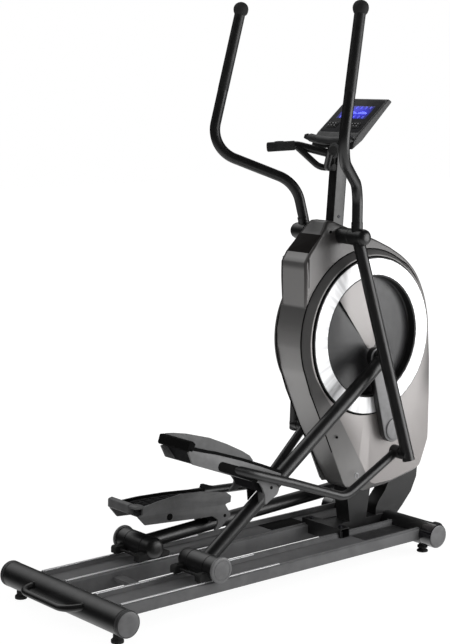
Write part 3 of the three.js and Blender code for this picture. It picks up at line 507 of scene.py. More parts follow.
# ---------- Forms ----------
class Form:
    """Points and faces gathered from simple shapes into one piece."""

    def __init__(self, place=HOME):
        self.place = place
        self.points = []
        self.faces = []

    def add(self, points, faces, move=None):
        start = len(self.points)
        matrix = self.place @ move if move else self.place
        self.points += [matrix @ Vector(point) for point in points]
        self.faces += [[start + i for i in face] for face in faces]
        return self

    def rings(self, rings, around=True, ends=True, looped=False, move=None):
        """A skin over rings of points. Its ends may be closed, or joined to each other."""
        count = len(rings[0])
        points = [point for ring in rings for point in ring]
        faces = []
        for i in range(len(rings) if looped else len(rings) - 1):
            j = (i + 1) % len(rings)
            for k in range(count if around else count - 1):
                m = (k + 1) % count
                faces.append([i * count + k, i * count + m, j * count + m, j * count + k])
        if ends and not looped:
            faces.append(list(range(count)))
            faces.append([(len(rings) - 1) * count + k for k in range(count)])
        return self.add(points, faces, move)

    def plate(self, corners, start, end, edge=1.0, steps=3, move=None):
        """A side-view outline drawn across Y, with rounded edges."""
        turns = [math.pi / 2 * k / steps for k in range(steps + 1)]
        near = [(edge * (1 - math.sin(t)), start + edge * (1 - math.cos(t))) for t in turns]
        far = [(depth, start + end - y) for depth, y in reversed(near)]
        shells = [(inset(corners, depth), y) for depth, y in near + far]
        return self.rings([[(x, y, z) for x, z in ring] for ring, y in shells], move=move)

    def block(self, low, high, edge=1.0, move=None):
        (x0, y0, z0), (x1, y1, z1) = low, high
        corners = outline([(x0, z0, edge), (x1, z0, edge), (x1, z1, edge), (x0, z1, edge)], 2)
        return self.plate(corners, y0, y1, min(edge, (y1 - y0) / 3), 2, move)

    def turned(self, profile, x=0.0, z=0.0, sides=64, looped=False, move=None, ends=True):
        """A profile of (radius, y) turned about a line along Y."""
        turns = [2 * math.pi * k / sides for k in range(sides)]
        rings = [[(x + r * math.cos(t), y, z + r * math.sin(t)) for t in turns] for r, y in profile]
        return self.rings(rings, ends=ends, looped=looped, move=move)

    def lathe(self, profile, side, x=0.0, z=0.0, sides=64, **settings):
        """A profile of (radius, distance outward) turned about a line along Y, on one side of the machine."""
        return self.turned([(r, side * y) for r, y in profile], x, z, sides, **settings)

    def upright(self, profile, x=0.0, y=0.0, sides=48, move=None):
        """A profile of (radius, z) turned about an upright line."""
        turns = [2 * math.pi * k / sides for k in range(sides)]
        rings = [[(x + r * math.cos(t), y + r * math.sin(t), h) for t in turns] for r, h in profile]
        return self.rings(rings, move=move)

    def tube(self, corners, radius, sides=32, arcs=10, move=None, taper=None):
        """A round tube along bent corners. taper gives the radius at each share of the way."""
        line = bent(corners, arcs)
        heading = (line[1] - line[0]).normalized()
        side = heading.orthogonal().normalized()
        rings = []
        for i, point in enumerate(line):
            ahead = (line[min(i + 1, len(line) - 1)] - point).normalized()
            behind = (point - line[max(i - 1, 0)]).normalized()
            tangent = (ahead + behind).normalized()
            side = heading.rotation_difference(tangent) @ side
            heading = tangent
            other = tangent.cross(side)
            size = taper(i / (len(line) - 1)) if taper else radius
            turns = [2 * math.pi * k / sides for k in range(sides)]
            rings.append([point + (side * math.cos(t) + other * math.sin(t)) * size for t in turns])
        return self.rings(rings, move=move)

    def bolt(self, x, z, y, side, radius, head):
        """A domed socket bolt on a face whose outward way is side along Y."""
        profile = [(radius, 0), (radius, head * 0.5), (radius * 0.86, head * 0.85), (radius * 0.5, head),
                   (radius * 0.42, head), (radius * 0.42, head * 0.4), (radius * 0.2, head * 0.35)]
        return self.turned([(r, y + side * h) for r, h in profile], x, z, 24)


MERGE = 1e-6
WALL = 0.003
BEVEL_ANGLE = math.radians(40)
FLAT_ANGLE = math.radians(0.5)


def shown(name, form, finish, body, slot, stands_for=(), **looks):
    """One finished piece: its mesh, its material, and the body it rides on."""
    mesh = bpy.data.meshes.new(name)
    work = bmesh.new()
    made = [work.verts.new(point) for point in form.points]
    for face in form.faces:
        work.faces.new([made[i] for i in face])
    bmesh.ops.remove_doubles(work, verts=work.verts, dist=MERGE)
    bmesh.ops.recalc_face_normals(work, faces=work.faces)
    work.to_mesh(mesh)
    work.free()
    return finished(name, mesh, finish, body, slot, stands_for, **looks)


def finished(name, mesh, finish, body, slot, stands_for=(), smooth=32, edge=0.0, wall=0.0):
    """Dresses a mesh with a finish, and rides it on its body. smooth is in degrees, the rest in metres."""
    mesh.polygons.foreach_set("use_smooth", [True] * len(mesh.polygons))
    mesh.set_sharp_from_angle(angle=math.radians(smooth))
    mesh.materials.clear()
    mesh.materials.append(FINISHES[finish])
    piece = bpy.data.objects.new(name, mesh)
    bpy.context.scene.collection.objects.link(piece)
    if wall:
        thicken = piece.modifiers.new("wall", "SOLIDIFY")
        thicken.thickness = wall
        thicken.offset = -1
    if edge:
        soften = piece.modifiers.new("edge", "BEVEL")
        soften.width = edge
        soften.segments = 2
        soften.limit_method = "ANGLE"
        soften.angle_limit = BEVEL_ANGLE
        soften.harden_normals = True
    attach(piece, body)
    if stands_for:
        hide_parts(*stands_for)
    return piece


def body_of(node):
    return frame["nodes"][node]["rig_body"]


def dressed(node, finish, slot, edge=None):
    """A copy of a frame node with its flat faces made whole and its edges rounded."""
    work = bmesh.new()
    work.from_mesh(frame["nodes"][node].data)
    bmesh.ops.remove_doubles(work, verts=work.verts, dist=MERGE)
    bmesh.ops.dissolve_limit(work, angle_limit=FLAT_ANGLE, verts=work.verts, edges=work.edges)
    mesh = bpy.data.meshes.new(node + "_finished")
    work.to_mesh(mesh)
    work.free()
    edge = bpy.context.scene.trainer_sizes.paint_edge if edge is None else edge
    return finished(node + "_finished", mesh, finish, body_of(node), slot, (node,), 34, edge)


def coated(node, finish):
    """A frame node that keeps its own mesh and takes a finish."""
    for place in frame["nodes"][node].material_slots:
        place.material = FINISHES[finish]


# ---------- Base ----------
CAP_STEP = 0.5


def foot_tube(node):
    low, high = extent(node)
    radius = (high.z - low.z) / 2
    middle = local(centre(node))
    form = Form().turned([(radius - 3, low.y), (radius - 0.6, low.y), (radius, low.y + 0.6),
                          (radius, high.y - 0.6), (radius - 0.6, high.y), (radius - 3, high.y)],
                         middle.x, middle.z, 72)
    shown(node + "_tube", form, "paint", "frame", "frame_paint", (node,))


def cap_profile(radius, seam, face):
    """The black flange of an end cap, with a fine groove before its rim."""
    return [(radius - 4, seam), (radius - CAP_STEP, seam), (radius, seam + 0.8), (radius, face - 7.4),
            (radius - 1, face - 6.8), (radius - 1, face - 5.8), (radius, face - 5.2), (radius, face - 2.2),
            (radius - 0.8, face - 0.8), (radius - 2.6, face - 0.4), (radius - 3.4, face - 2)]


def cap_face(radius, face):
    """The grey disc let into an end cap."""
    return [(radius - 3.2, face - 2.4), (radius - 3.2, face - 0.6), (radius - 4.4, face), (radius * 0.5, face + 0.3),
            (4, face + 0.5)]


def rear_caps():
    for tag, side in SIDES:
        node = "rear_cap_" + tag
        low, high = extent(node)
        face = max(abs(low.y), abs(high.y)) - 0.6
        radius = (high.z - low.z) / 2
        tube_end = abs(extent("rear_stabilizer")[1].y) + 1.2
        rim = Form().lathe(cap_profile(radius, tube_end, face), side, REAR.x, REAR.z, 72)
        shown(node + "_rim", rim, "plastic", "frame", "black_plastic")
        disc = Form().lathe(cap_face(radius, face), side, REAR.x, REAR.z, 72)
        shown(node + "_finished", disc, "cap", "frame", "cap_grey", (node,))


def front_caps():
    """Front caps: a cup round each transport wheel, open towards the front."""
    for tag, side in SIDES:
        node = "front_cap_" + tag
        dressed(node, "gloss", "gloss_black", 0.0012)
        low, high = extent(node)
        face = max(abs(low.y), abs(high.y))
        radius = (high.z - low.z) / 2
        profile = [(radius - 3, face - 0.5), (radius - 4, face + 0.2), (radius - 7, face + 0.5), (3, face + 0.6)]
        shown(node + "_face", Form().lathe(profile, side, FRONT.x, FRONT.z, 72), "cap", "frame", "cap_grey")


def transport_wheels():
    for tag, _ in SIDES:
        node = "transport_wheel_" + tag
        low, high = extent(node)
        middle = (low + high) / 2
        radius = (high.z - low.z) / 2
        half = (high.y - low.y) / 2
        tread = [(radius - 9, -half + 1), (radius - 2, -half), (radius, -half + 2), (radius, -2),
                 (radius - 0.8, -1.2), (radius - 0.8, 1.2), (radius, 2), (radius, half - 2),
                 (radius - 2, half), (radius - 9, half - 1)]
        hub = [(radius - 9, 2 - half), (radius - 11, 2.5 - half), (9, 2.5 - half), (8, 1 - half), (4.6, 1 - half),
               (4.6, half - 1), (8, half - 1), (9, half - 2.5), (radius - 11, half - 2.5), (radius - 9, half - 2)]
        move = Matrix.Translation((0, middle.y, 0))
        tyre = Form().turned(tread, middle.x, middle.z, 64, looped=True, move=move)
        shown(node + "_tyre", tyre, "rubber", "transport_" + tag, "black_rubber", (node,))
        disc = Form().turned(hub, middle.x, middle.z, 48, looped=True, move=move)
        shown(node + "_hub", disc, "plastic", "transport_" + tag, "black_plastic")


def knurled(form, radius, low, high, x, y, ridges=28):
    """A hand wheel with upright ridges round its rim."""
    turns = [math.pi * k / ridges for k in range(2 * ridges)]
    sizes = [radius - (1.3 if k % 2 else 0) for k in range(2 * ridges)]
    rings = []
    for inward, height in ((3, low), (0.6, low + 0.8), (0, low + 2), (0, high - 2), (0.6, high - 0.8), (3, high)):
        rings.append([(x + (s - inward) * math.cos(t), y + (s - inward) * math.sin(t), height)
                      for s, t in zip(sizes, turns)])
    return form.rings(rings)


def feet():
    """Rubber feet. The front ones have a hand wheel and turn to level the machine."""
    tube_bottom = FOOT_HEIGHT - FOOT_RADIUS
    sole = [(15.5, 0), (17.5, 0.6), (18, 2)]
    for tag, _ in SIDES:
        spot = local(centre("rear_foot_" + tag))
        pad = Form().upright([*sole, (18, 8), (16.5, 10), (12.5, 13.5), (12.2, tube_bottom)], spot.x, spot.y)
        shown("rear_foot_%s_finished" % tag, pad, "rubber", "frame", "black_rubber", ("rear_foot_" + tag,))
        spot = local(centre("front_foot_" + tag))
        pad = Form().upright([*sole, (18, 5), (16, 6.6), (8, 9)], spot.x, spot.y)
        pad.upright([(7.8, 8.6), (7.8, 13.2)], spot.x, spot.y)
        knurled(pad, 16.5, 12.6, 21.6, spot.x, spot.y)
        pad.upright([(12, 21.2), (11.5, tube_bottom - 1)], spot.x, spot.y)
        thread = [(6 + (0.5 if k % 2 else -0.3), tube_bottom - 1 + 0.9 * k) for k in range(8)]
        pad.upright(thread, spot.x, spot.y, 24)
        shown("front_foot_%s_finished" % tag, pad, "rubber", "leveller_" + tag, "black_rubber",
              ("front_foot_" + tag,))


def carry_handle():
    low, high = extent("carry_handle")
    radius = (high.z - low.z) / 2
    height = (high.z + low.z) / 2
    half = high.y - radius * 0.55
    back = low.x + radius
    tuck = -math.sqrt(FOOT_RADIUS ** 2 - (height - FOOT_HEIGHT) ** 2) + 3
    route = [(tuck, half, height), (back, half - 16, height, 44), (back, 16 - half, height, 44), (tuck, -half, height)]
    form = Form().tube(route, radius, 32, 12)
    for side in (1, -1):
        bead = [(tuck + 1.5, side * half, height), (tuck - 1.5, side * (half - 0.4), height)]
        form.tube(bead, radius + 2.2, 32)
    shown("carry_loop", form, "paint", "frame", "frame_paint", ("carry_handle",))


LIP_Y = (60.5, 63)
TRAY_Y = (92, 185)
TRAY_Z = (70.5, 72.8)


def tray_floor(name, side, start, end, finish):
    """A thin dark panel on the bottom of a tray, from start to end along X."""
    near, far = sorted(side * y for y in TRAY_Y)
    form = Form().block((start, near, TRAY_Z[0]), (end, far, TRAY_Z[1]), 0.6)
    shown(name, form, finish, "frame", "track_paint")


def tracks_and_rails():
    inner, outer = sorted(abs(corner.y) for corner in extent("track_r"))
    for tag, side in SIDES:
        dressed("track_" + tag, "track_paint", "track_paint", 0.0012)
        for place in ("outer", "inner"):
            dressed("rail_%s_%s" % (place, tag), "rail", "bright_trim", 0.0005)
        near, far = sorted(side * y for y in LIP_Y)
        lip = Form().block((31.5, near, 35), (1214.5, far, 80.5), 0.8)
        shown("track_lip_" + tag, lip, "track_paint", "frame", "track_paint")
        tray_floor("track_front_floor_" + tag, side, 1018, 1206, "plastic")
        # On the far track a near-black sheet lies on the tray floor: painted shade where that tray looks dark.
        if side > 0:
            tray_floor("track_opening_" + tag, side, 868, 1012, "seam")
        weld = Form()
        for x in (REAR.x + 34, FRONT.x - 34):
            for start, end in ((outer - 14, outer - 2), (inner, inner + 14)):
                weld.tube([(x, side * y, FOOT_HEIGHT + 20) for y in (start, end)], 2.4, 12)
        shown("track_weld_" + tag, weld, "track_paint", "frame", "track_paint")


CROSS_X = 992.5
CROSS_TOP = 101
CROSS_BOLT = [(9, 0), (9, 1.2), (6.4, 1.6), (6.4, 4.4), (5.2, 5.6), (2.6, 5.6), (2.6, 3.4)]


def main_frame():
    dressed("main_frame", "paint", "frame_paint", 0.0018)
    form = Form()
    for y in (-66, 66):
        upright = Matrix.Translation((CROSS_X, y, CROSS_TOP)) @ Matrix.Rotation(math.pi / 2, 4, "X")
        form.turned(CROSS_BOLT, 0, 0, 24, move=upright)
    shown("frame_bolts", form, "black_steel", "frame", "frame_paint")


# ---------- Housing ----------
BODY = [
    (1045, 214), (1003, 285), (931, 420, 90), (879, 535, 120), (849, 610, 120), (832, 690, 90), (832, 738, 60),
    (841, 778, 40), (849, 812, 8), (846, 948, 14), (865, 977, 9), (917, 1030, 9), (950, 1069, 16), (975, 1069, 12),
    (1008, 1055, 20), (1060, 1035, 60), (1150, 1000, 60), (1212, 972, 60), *arc(RING.x, RING.z, 288.5, 58, 4, 24),
    (1391, 600, 60), (1392, 480, 60), (1390, 330, 40), (1345, 232, 22), (1207, 206, 60), (1104, 198, 20),
]
PLATFORM = [
    (1040, 222), (1021, 224), (966, 345, 60), (916, 451, 60), (871, 544, 60), *arc(RING.x, RING.z, 272, 197, 62, 50),
    *arc(RING.x, RING.z, 276, 50, 0, 16), (1386, 600, 60), (1388, 480, 60), (1386, 330, 40), (1343, 232, 22),
    (1207, 206, 60), (1104, 198, 20),
]
CREST = [
    (1120, 222), (1101, 238), (1038, 352, 40), (975, 451, 80), (912, 530, 60), *arc(RING.x, RING.z, 257, 205, 62, 50),
    *arc(RING.x, RING.z, 258, 50, 0, 16), (1368, 600, 60), (1370, 480, 60), (1368, 338, 40), (1331, 250, 22),
    (1205, 224, 60),
]
HALF_WIDTHS = [(150, 46), (430, 56), (812, 57), (900, 60), (975, 57), (1035, 50), (1069, 40), (1100, 36)]
SIDE_SHARES = (0.2, 0.35, 0.5, 0.62, 0.72, 0.8, 0.87, 0.92, 0.96, 0.985)  # rings of the flat side, from its middle
BAND_PROFILE = {14: 0.8, 3: 0.8, 0.4: 0.0, -1.2: -2.2}  # depth below the outline: how far past the side's face
SPINE_HALF = 50
SPINE_END = 985
STEP = 812
BAND_FRONT = 1046
PLATFORM_BASE = 55
PLATFORM_FACE = 84
RECESS = 252
RECESS_FLOOR = 81.4
DISC_EDGE = 193


def half_width(height):
    """Half the housing's width at a height, eased between the listed heights."""
    for (low, narrow), (high, wide) in zip(HALF_WIDTHS, HALF_WIDTHS[1:]):
        if height < high:
            share = max(0.0, (height - low) / (high - low))
            return narrow + (wide - narrow) * share * share * (3 - 2 * share)
    return HALF_WIDTHS[-1][1]


def rounded_rim(corners, edge, steps=5):
    """Rings from the flat side to the rim: how far in, and how far below the side's face."""
    turns = [math.pi / 2 * k / steps for k in range(steps + 1)]
    return [(inset(corners, edge * (1 - math.sin(t))), edge * (1 - math.cos(t))) for t in turns]


def seam_width():
    return bpy.context.scene.trainer_sizes.seam / MM


def spine_half(height, edge):
    """Half the rear band's width at a height, kept clear of the side's rounded edge."""
    return min(SPINE_HALF, half_width(height) - edge - 1)


def housing_body():
    """The housing's side covers and its rear band, with a dark seam between each two."""
    edge = bpy.context.scene.trainer_sizes.edge / MM
    seam = seam_width()
    line = dense(outline(BODY, 8), 24)
    count = len(line)
    rear = [x < SPINE_END for x, z in line]
    rim = rounded_rim(line, edge)
    for tag, side in SIDES:
        rings = []
        for share in SIDE_SHARES:
            flat = [(RING.x + (x - RING.x) * share, RING.z + (z - RING.z) * share) for x, z in rim[0][0]]
            rings.append([(x, side * half_width(z), z) for x, z in flat])
        for corners, sink in rim:
            rings.append([(x, side * (half_width(z) - sink), z) for x, z in corners])
        rings.append([(x, side * (spine_half(z, edge) + seam / 2), z) for x, z in line])
        rings.append([(x, side * seam / 4, z) for x, z in line])
        form = Form()
        points = [point for ring in rings for point in ring]
        faces = []
        for i in range(len(rings) - 1):
            for k in range(count):
                m = (k + 1) % count
                if i == len(rings) - 2 and rear[k] and rear[m]:
                    continue
                faces.append([i * count + k, i * count + m, (i + 1) * count + m, (i + 1) * count + k])
        faces.append(list(range(count)))
        form.add(points, faces)
        shown("housing_side_" + tag, form, "housing", "frame", "shroud_grey", ("side_cover_" + tag,),
              smooth=24, wall=WALL)
    strip = [i for i in range(count) if rear[i]]
    start = next(i for i in strip if not rear[i - 1])
    strip = [(start + k) % count for k in range(len(strip))]
    rings = []
    for share, depth in ((-1, 1), (-0.97, 0.25), (-0.9, 0), (0.9, 0), (0.97, 0.25), (1, 1)):
        source = line if depth == 0 else inset(line, depth)
        rings.append([(source[i][0], share * (spine_half(line[i][1], edge) - seam / 2), source[i][1]) for i in strip])
    form = Form().rings(rings, around=False, ends=False)
    shown("housing_spine", form, "spine", "frame", "spine_grey", ("spine_cover",), smooth=24, wall=WALL)
    rear_band(line)


def rear_band(line):
    """The wider band below the step, from one raised face to the other."""
    strip = [i for i, (x, z) in enumerate(line) if z <= STEP and x < BAND_FRONT]
    profile = list(BAND_PROFILE.items())
    rings = []
    for way, shells in ((-1, profile), (1, profile[::-1])):
        for depth, spread in shells:
            deep = inset(line, depth)
            rings.append([(deep[i][0], way * (half_width(line[i][1]) + spread), min(STEP, deep[i][1])) for i in strip])
    form = Form().rings(rings, around=False, ends=False)
    shown("housing_band", form, "spine", "frame", "spine_grey", smooth=24, wall=WALL)


def reach(corners, turn):
    """How far a closed outline lies from the ring's centre, at an angle."""
    heading = Vector((math.cos(turn), math.sin(turn)))
    best = 0.0
    for i, corner in enumerate(corners):
        a = Vector(corners[i - 1]) - Vector((RING.x, RING.z))
        b = Vector(corner) - Vector((RING.x, RING.z))
        span = b - a
        cross = heading.x * span.y - heading.y * span.x
        if abs(cross) < 1e-9:
            continue
        share = (a.y * heading.x - a.x * heading.y) / -cross
        away = (a.x * span.y - a.y * span.x) / cross
        if -1e-6 <= share <= 1 + 1e-6 and away > best:
            best = away
    return best


def platforms():
    """The raised face round each ring, its sloping wall and the seat sunk for the ring."""
    base, crest = outline(PLATFORM, 8), outline(CREST, 8)
    count = 240
    turns = [2 * math.pi * k / count for k in range(count)]
    low = [reach(base, turn) for turn in turns]
    high = [max(RECESS + 1.6, reach(crest, turn)) for turn in turns]
    foot = PLATFORM_BASE + 2
    rise = PLATFORM_FACE - foot
    lip = PLATFORM_FACE - 0.4
    seat = [(RECESS, PLATFORM_FACE - 0.8), (RECESS, RECESS_FLOOR), (DISC_EDGE, RECESS_FLOOR),
            (DISC_EDGE, PLATFORM_BASE)]

    def between(share):
        return [a + (b - a) * share for a, b in zip(low, high)]

    for tag, side in SIDES:
        def skin(shells):
            return Form().rings([[
                (RING.x + s * math.cos(t), side * y, RING.z + s * math.sin(t)) for s, t in zip(spans, turns)
            ] for spans, y in shells], ends=False)

        slope = [(low, PLATFORM_BASE - 3), (low, PLATFORM_BASE + 1.4)]
        slope += [(between(share), foot + rise * share) for share in (0.03, 0.5, 0.9, 0.97)]
        shown("housing_slope_" + tag, skin(slope), "slope", "frame", "shroud_grey", smooth=40)
        face = [slope[-1], ([b - 0.3 for b in high], PLATFORM_FACE - 0.2), ([b - 1 for b in high], PLATFORM_FACE)]
        face += [([RECESS + 0.4] * count, PLATFORM_FACE), ([RECESS] * count, lip), ([RECESS] * count, lip - 0.4)]
        shown("housing_face_" + tag, skin(face), "housing", "frame", "shroud_grey", smooth=26)
        # The seat is near-black: a dark joint round the ring, with painted shade in its recess.
        form = Form().lathe(seat, side, RING.x, RING.z, 200, ends=False)
        shown("ring_seat_" + tag, form, "seam", "frame", "shroud_grey")
        line = inset(base, -0.6)
        low_edge = [(x, z) for x, z in line if z > 236 and not (x > RING.x + 60 and z < 690)]
        first = max(range(len(low_edge)), key=lambda i: math.dist(low_edge[i], low_edge[i - 1]))
        path = [(x, side * (half_width(z) - 0.4), z) for x, z in low_edge[first:] + low_edge[:first]]
        shown("housing_seam_" + tag, Form().tube(path, seam_width() * 1.3, 8), "seam", "frame", "shroud_grey")


def rings_and_discs():
    for tag, side in SIDES:
        low, high = extent("ring_" + tag)
        outer = (high.x - low.x) / 2
        face = max(abs(low.y), abs(high.y))
        inner = DISC_EDGE + 0.4
        carrier = [(inner, 82), (inner, face - 2), (inner + 1, face - 1.4), (outer - 1, face - 1.4), (outer, face - 2),
                   (outer, 82)]
        form = Form().lathe(carrier, side, RING.x, RING.z, 180, looped=True)
        shown("ring_carrier_" + tag, form, "dark_wall", "frame", "bright_trim")
        bright = [(inner + 0.4, face - 1.6), (inner + 0.4, face - 0.7), (inner + 1.4, face), (outer - 4, face),
                  (outer - 3, face - 0.7), (outer - 3, face - 1.6)]
        form = Form().lathe(bright, side, RING.x, RING.z, 180, looped=True)
        shown("ring_%s_finished" % tag, form, "ring", "frame", "bright_trim", ("ring_" + tag,))

        # The dish wall is near-black, darker than the disc: its own dark colour, with painted shade in the recess.
        wall = [(DISC_EDGE - 0.6, 60), (DISC_EDGE - 0.6, 89), (DISC_EDGE - 1.4, 90), (DISC_EDGE - 3.4, 90),
                (DISC_EDGE - 4.2, 89), (DISC_EDGE - 5.4, 66), (DISC_EDGE - 8.4, 63.2), (DISC_EDGE - 9, 60)]
        form = Form().lathe(wall, side, RING.x, RING.z, 160, looped=True)
        shown("disc_wall_" + tag, form, "dark_wall", "frame", "disc_grey")
        floor = [(DISC_EDGE - 8.8, 60), (DISC_EDGE - 8.8, 62), (120, 66), (58, 70), (30, 71.8), (4, 72)]
        form = Form().lathe(floor, side, RING.x, RING.z, 128)
        shown("disc_floor_" + tag, form, "disc", "frame", "disc_grey", ("disc_" + tag,))
        spoke = [(1097, 664, 8), *arc(RING.x, RING.z, DISC_EDGE - 9, 135.5, 84, 14), (1140, 690, 12), (1122, 655, 12)]
        # The spoke stands on a near-black layer, so that a dark line runs round its edge: a painted shadow.
        for low, high, finish in ((60, 70.6, "dark_wall"), (70.4, 72.6, "crest")):
            low, high = sorted((side * low, side * high))
            form = Form().plate(outline(spoke, 4), low, high, 0.6)
            shown("disc_spoke_%s_%s" % (finish, tag), form, finish, "frame", "shroud_grey")


WINDOW_LOW = Vector((865, 0, 977))
WINDOW_HIGH = Vector((917, 0, 1030))


def tilted(origin, turn):
    """A move that lays a flat piece, drawn in X and Y, along a slope seen from the side."""
    return Matrix.Translation(origin) @ Matrix.Rotation(-turn, 4, "Y")


def slab(form, long, wide, low, high, bend, move):
    """A flat rounded panel in its own X and Y, from low to high."""
    flat = oblong(long / 2, wide / 2, bend)
    edge = min(0.8, (high - low) / 3)
    shells = [(flat, low), (flat, high - edge), (inset(flat, edge * 0.3), high - edge * 0.3), (inset(flat, edge), high)]
    return form.rings([[(x, y, h) for x, y in ring] for ring, h in shells], move=move)


def window():
    span = WINDOW_HIGH - WINDOW_LOW
    middle = (WINDOW_HIGH + WINDOW_LOW) / 2
    move = tilted(middle, math.atan2(span.z, span.x))
    form = slab(Form(), span.length - 1, 2 * spine_half(WINDOW_LOW.z, 3) - 4, -2.5, 1.1, 2, move)
    shown("window_panel", form, "smoked", "frame", "gloss_black", ("window",))


SCREW = [(4.4, -1), (4.4, 0.25), (3.4, 0.6), (1.8, 0.6), (1.6, -0.6)]
PLUG = [(4.2, -3), (4.2, 0.4), (1.8, 0.4), (1.6, -0.6)]
INSERT = [(9.4, -1), (9.4, 0.8), (8.6, 1.4), (7.2, 1.4), (6.6, 0.4), (6.4, -1)]
SLOT_X = (856.8, 859.2)
SLOT_Z = (872, 961)
SLOT_LEVEL = 915


def housing_details():
    """Screws, slots and bright inserts, each on the face of the side where it sits."""
    screws = ((1330, 685, PLATFORM_FACE), (1104, 215, half_width(215) + 3), (1297, 250, half_width(250) + 3),
              (847, 787, half_width(787) + 0.6))
    plugs = ((955, 1036, half_width(1036)), (968, 395, PLATFORM_FACE - 9))
    form, slot, insert = Form(), Form(), Form()
    for profile, spots in ((SCREW, screws), (PLUG, plugs)):
        for x, z, level in spots:
            for side in (1, -1):
                form.lathe([(r, level + h) for r, h in profile], side, x, z, 20)
    shown("housing_screws", form, "seam", "frame", "black_plastic")
    for side in (1, -1):
        level = side * half_width(SLOT_LEVEL)
        near, far = sorted((level - side, level + side * 0.5))
        slot.block((SLOT_X[0], near, SLOT_Z[0]), (SLOT_X[1], far, SLOT_Z[1]), 0.4)
        insert.lathe([(r, PLATFORM_FACE + h) for r, h in INSERT], side, 1046, 262, 36, looped=True)
    shown("housing_slots", slot, "seam", "frame", "shroud_grey")
    shown("housing_inserts", insert, "steel", "frame", "bright_trim")


# ---------- Drive inside the housing ----------
def drive():
    for node, finish in (("drive_pulley", "steel"), ("flywheel", "steel"), ("drive_belt", "rubber")):
        coated(node, finish)


# ---------- Linkage ----------
TUBE_LENGTH = 890
ARM_LENGTH = 668
LINK_LENGTH = 505
HINGE_ALONG = 278
HINGE_ABOVE = 45
THROW = 250
TUBE_Y = 140
LINK_Y = 222
WHEEL_Y = (76, 190)
PEDAL_TILT = math.radians(-20.8)


def heading(span):
    """The angle of a line in the side view."""
    return math.atan2(span.z, span.x)


def along(turn, distance):
    return Vector((math.cos(turn), 0, math.sin(turn))) * distance


def linkage(tag):
    """Where the pins of one side stand at rest, and how its pieces are turned."""
    roller = local(JOINT["roller_pivot_" + tag])
    hinge = local(JOINT["pedal_pivot_" + tag])
    tube = heading(hinge - roller) - math.atan2(HINGE_ABOVE, HINGE_ALONG)
    pin = roller + along(tube, TUBE_LENGTH)
    span = PIVOT - hinge
    away = math.hypot(span.x, span.z)
    corner = (LINK_LENGTH ** 2 + away ** 2 - ARM_LENGTH ** 2) / (2 * LINK_LENGTH * away)
    link = heading(span) - math.acos(corner)
    foot = hinge + along(link, LINK_LENGTH)
    return {"roller": roller, "hinge": hinge, "foot": foot, "tube": tube, "link": link,
            "arm": heading(foot - PIVOT), "crank": heading(pin - CRANK)}


LINKS = {tag: linkage(tag) for tag, side in SIDES}
DRAWN = LINKS["r"]


def placed(point, turn, side):
    """The move for a piece drawn about its own pin, for the user's left."""
    spin = Matrix.Rotation(-turn, 4, "Y")
    return Matrix.Translation((point.x, 0, point.z)) @ spin @ Matrix.Scale(side, 4, (0, 1, 0))


def crank_arms():
    for tag, side in SIDES:
        rest = LINKS[tag]
        move = placed(CRANK, rest["crank"], side)
        lean = math.degrees(math.acos((43 - 31) / THROW))
        corners = arc(0, 0, 43, lean, 360 - lean, 40) + arc(THROW, 0, 31, -lean, lean, 32)
        plate = Form().plate(corners, 96, 116, 2.4, 4, move)
        shown("crank_body_" + tag, plate, "paint", "crank", "frame_paint", ("crank_arm_" + tag,))
        face = Form().plate(inset(corners, 1.6), 114, 118, 1.6, 3, move)
        shown("crank_plate_" + tag, face, "crank_cover", "crank", "cap_grey")
        cover = Form().turned([(34.5, 116), (34.5, 121), (33.8, 122.6), (32, 123.6), (28, 124), (5, 124)], 0, 0, 64,
                              move=move)
        shown("crank_cover_" + tag, cover, "crank_cover", "crank", "cap_grey")


def main_tubes():
    for tag, side in SIDES:
        rest = LINKS[tag]
        move = placed(rest["roller"], rest["tube"], side)
        tube = Form().tube([(18, TUBE_Y, 0), (TUBE_LENGTH - 14, TUBE_Y, 0)], 22, 40, move=move)
        shown("main_bar_" + tag, tube, "paint", "tube_" + tag, "frame_paint", ("main_tube_" + tag,))
        head = Form().turned([(22, 118.4), (23.5, 118.4), (25, 119.8), (25, 151), (24.4, 152), (24.4, 152.8),
                              (25, 153.6), (25, 156.2), (23.6, 157.6), (21, 158), (4, 158)],
                             TUBE_LENGTH, 0, 48, move=move)
        head.tube([(TUBE_LENGTH - back, TUBE_Y, 0) for back in (30, 24, 21)], 20, 40, move=move,
                  taper=lambda share: 22.2 + 1.4 * share)
        shown("crank_bearing_" + tag, head, "paint", "tube_" + tag, "frame_paint")
        drum = Form().turned([(30, 100.5), (32, 100.5), (33, 101.5), (33, 174.5), (32, 175.5), (30, 175.5)], 0, 0, 56,
                             move=move)
        shown("roller_drum_" + tag, drum, "paint", "tube_" + tag, "frame_paint")
        saddle = outline([(HINGE_ALONG - 36, 12), (HINGE_ALONG + 32, 12), (HINGE_ALONG + 17, HINGE_ABOVE, 4),
                          (HINGE_ALONG, HINGE_ABOVE + 16, 16), (HINGE_ALONG - 17, HINGE_ABOVE, 4)], 6)
        bracket = Form()
        for y in (TUBE_Y - 26, TUBE_Y + 22):
            bracket.plate(saddle, y, y + 4, 0.8, move=move)
        bracket.turned([(15, 76), (15, 113), (14, 114)], HINGE_ALONG, HINGE_ABOVE, 40, move=move)
        bracket.turned([(14, 166), (15, 167), (15, 202)], HINGE_ALONG, HINGE_ABOVE, 40, move=move)
        shown("pedal_bracket_" + tag, bracket, "paint", "tube_" + tag, "frame_paint")


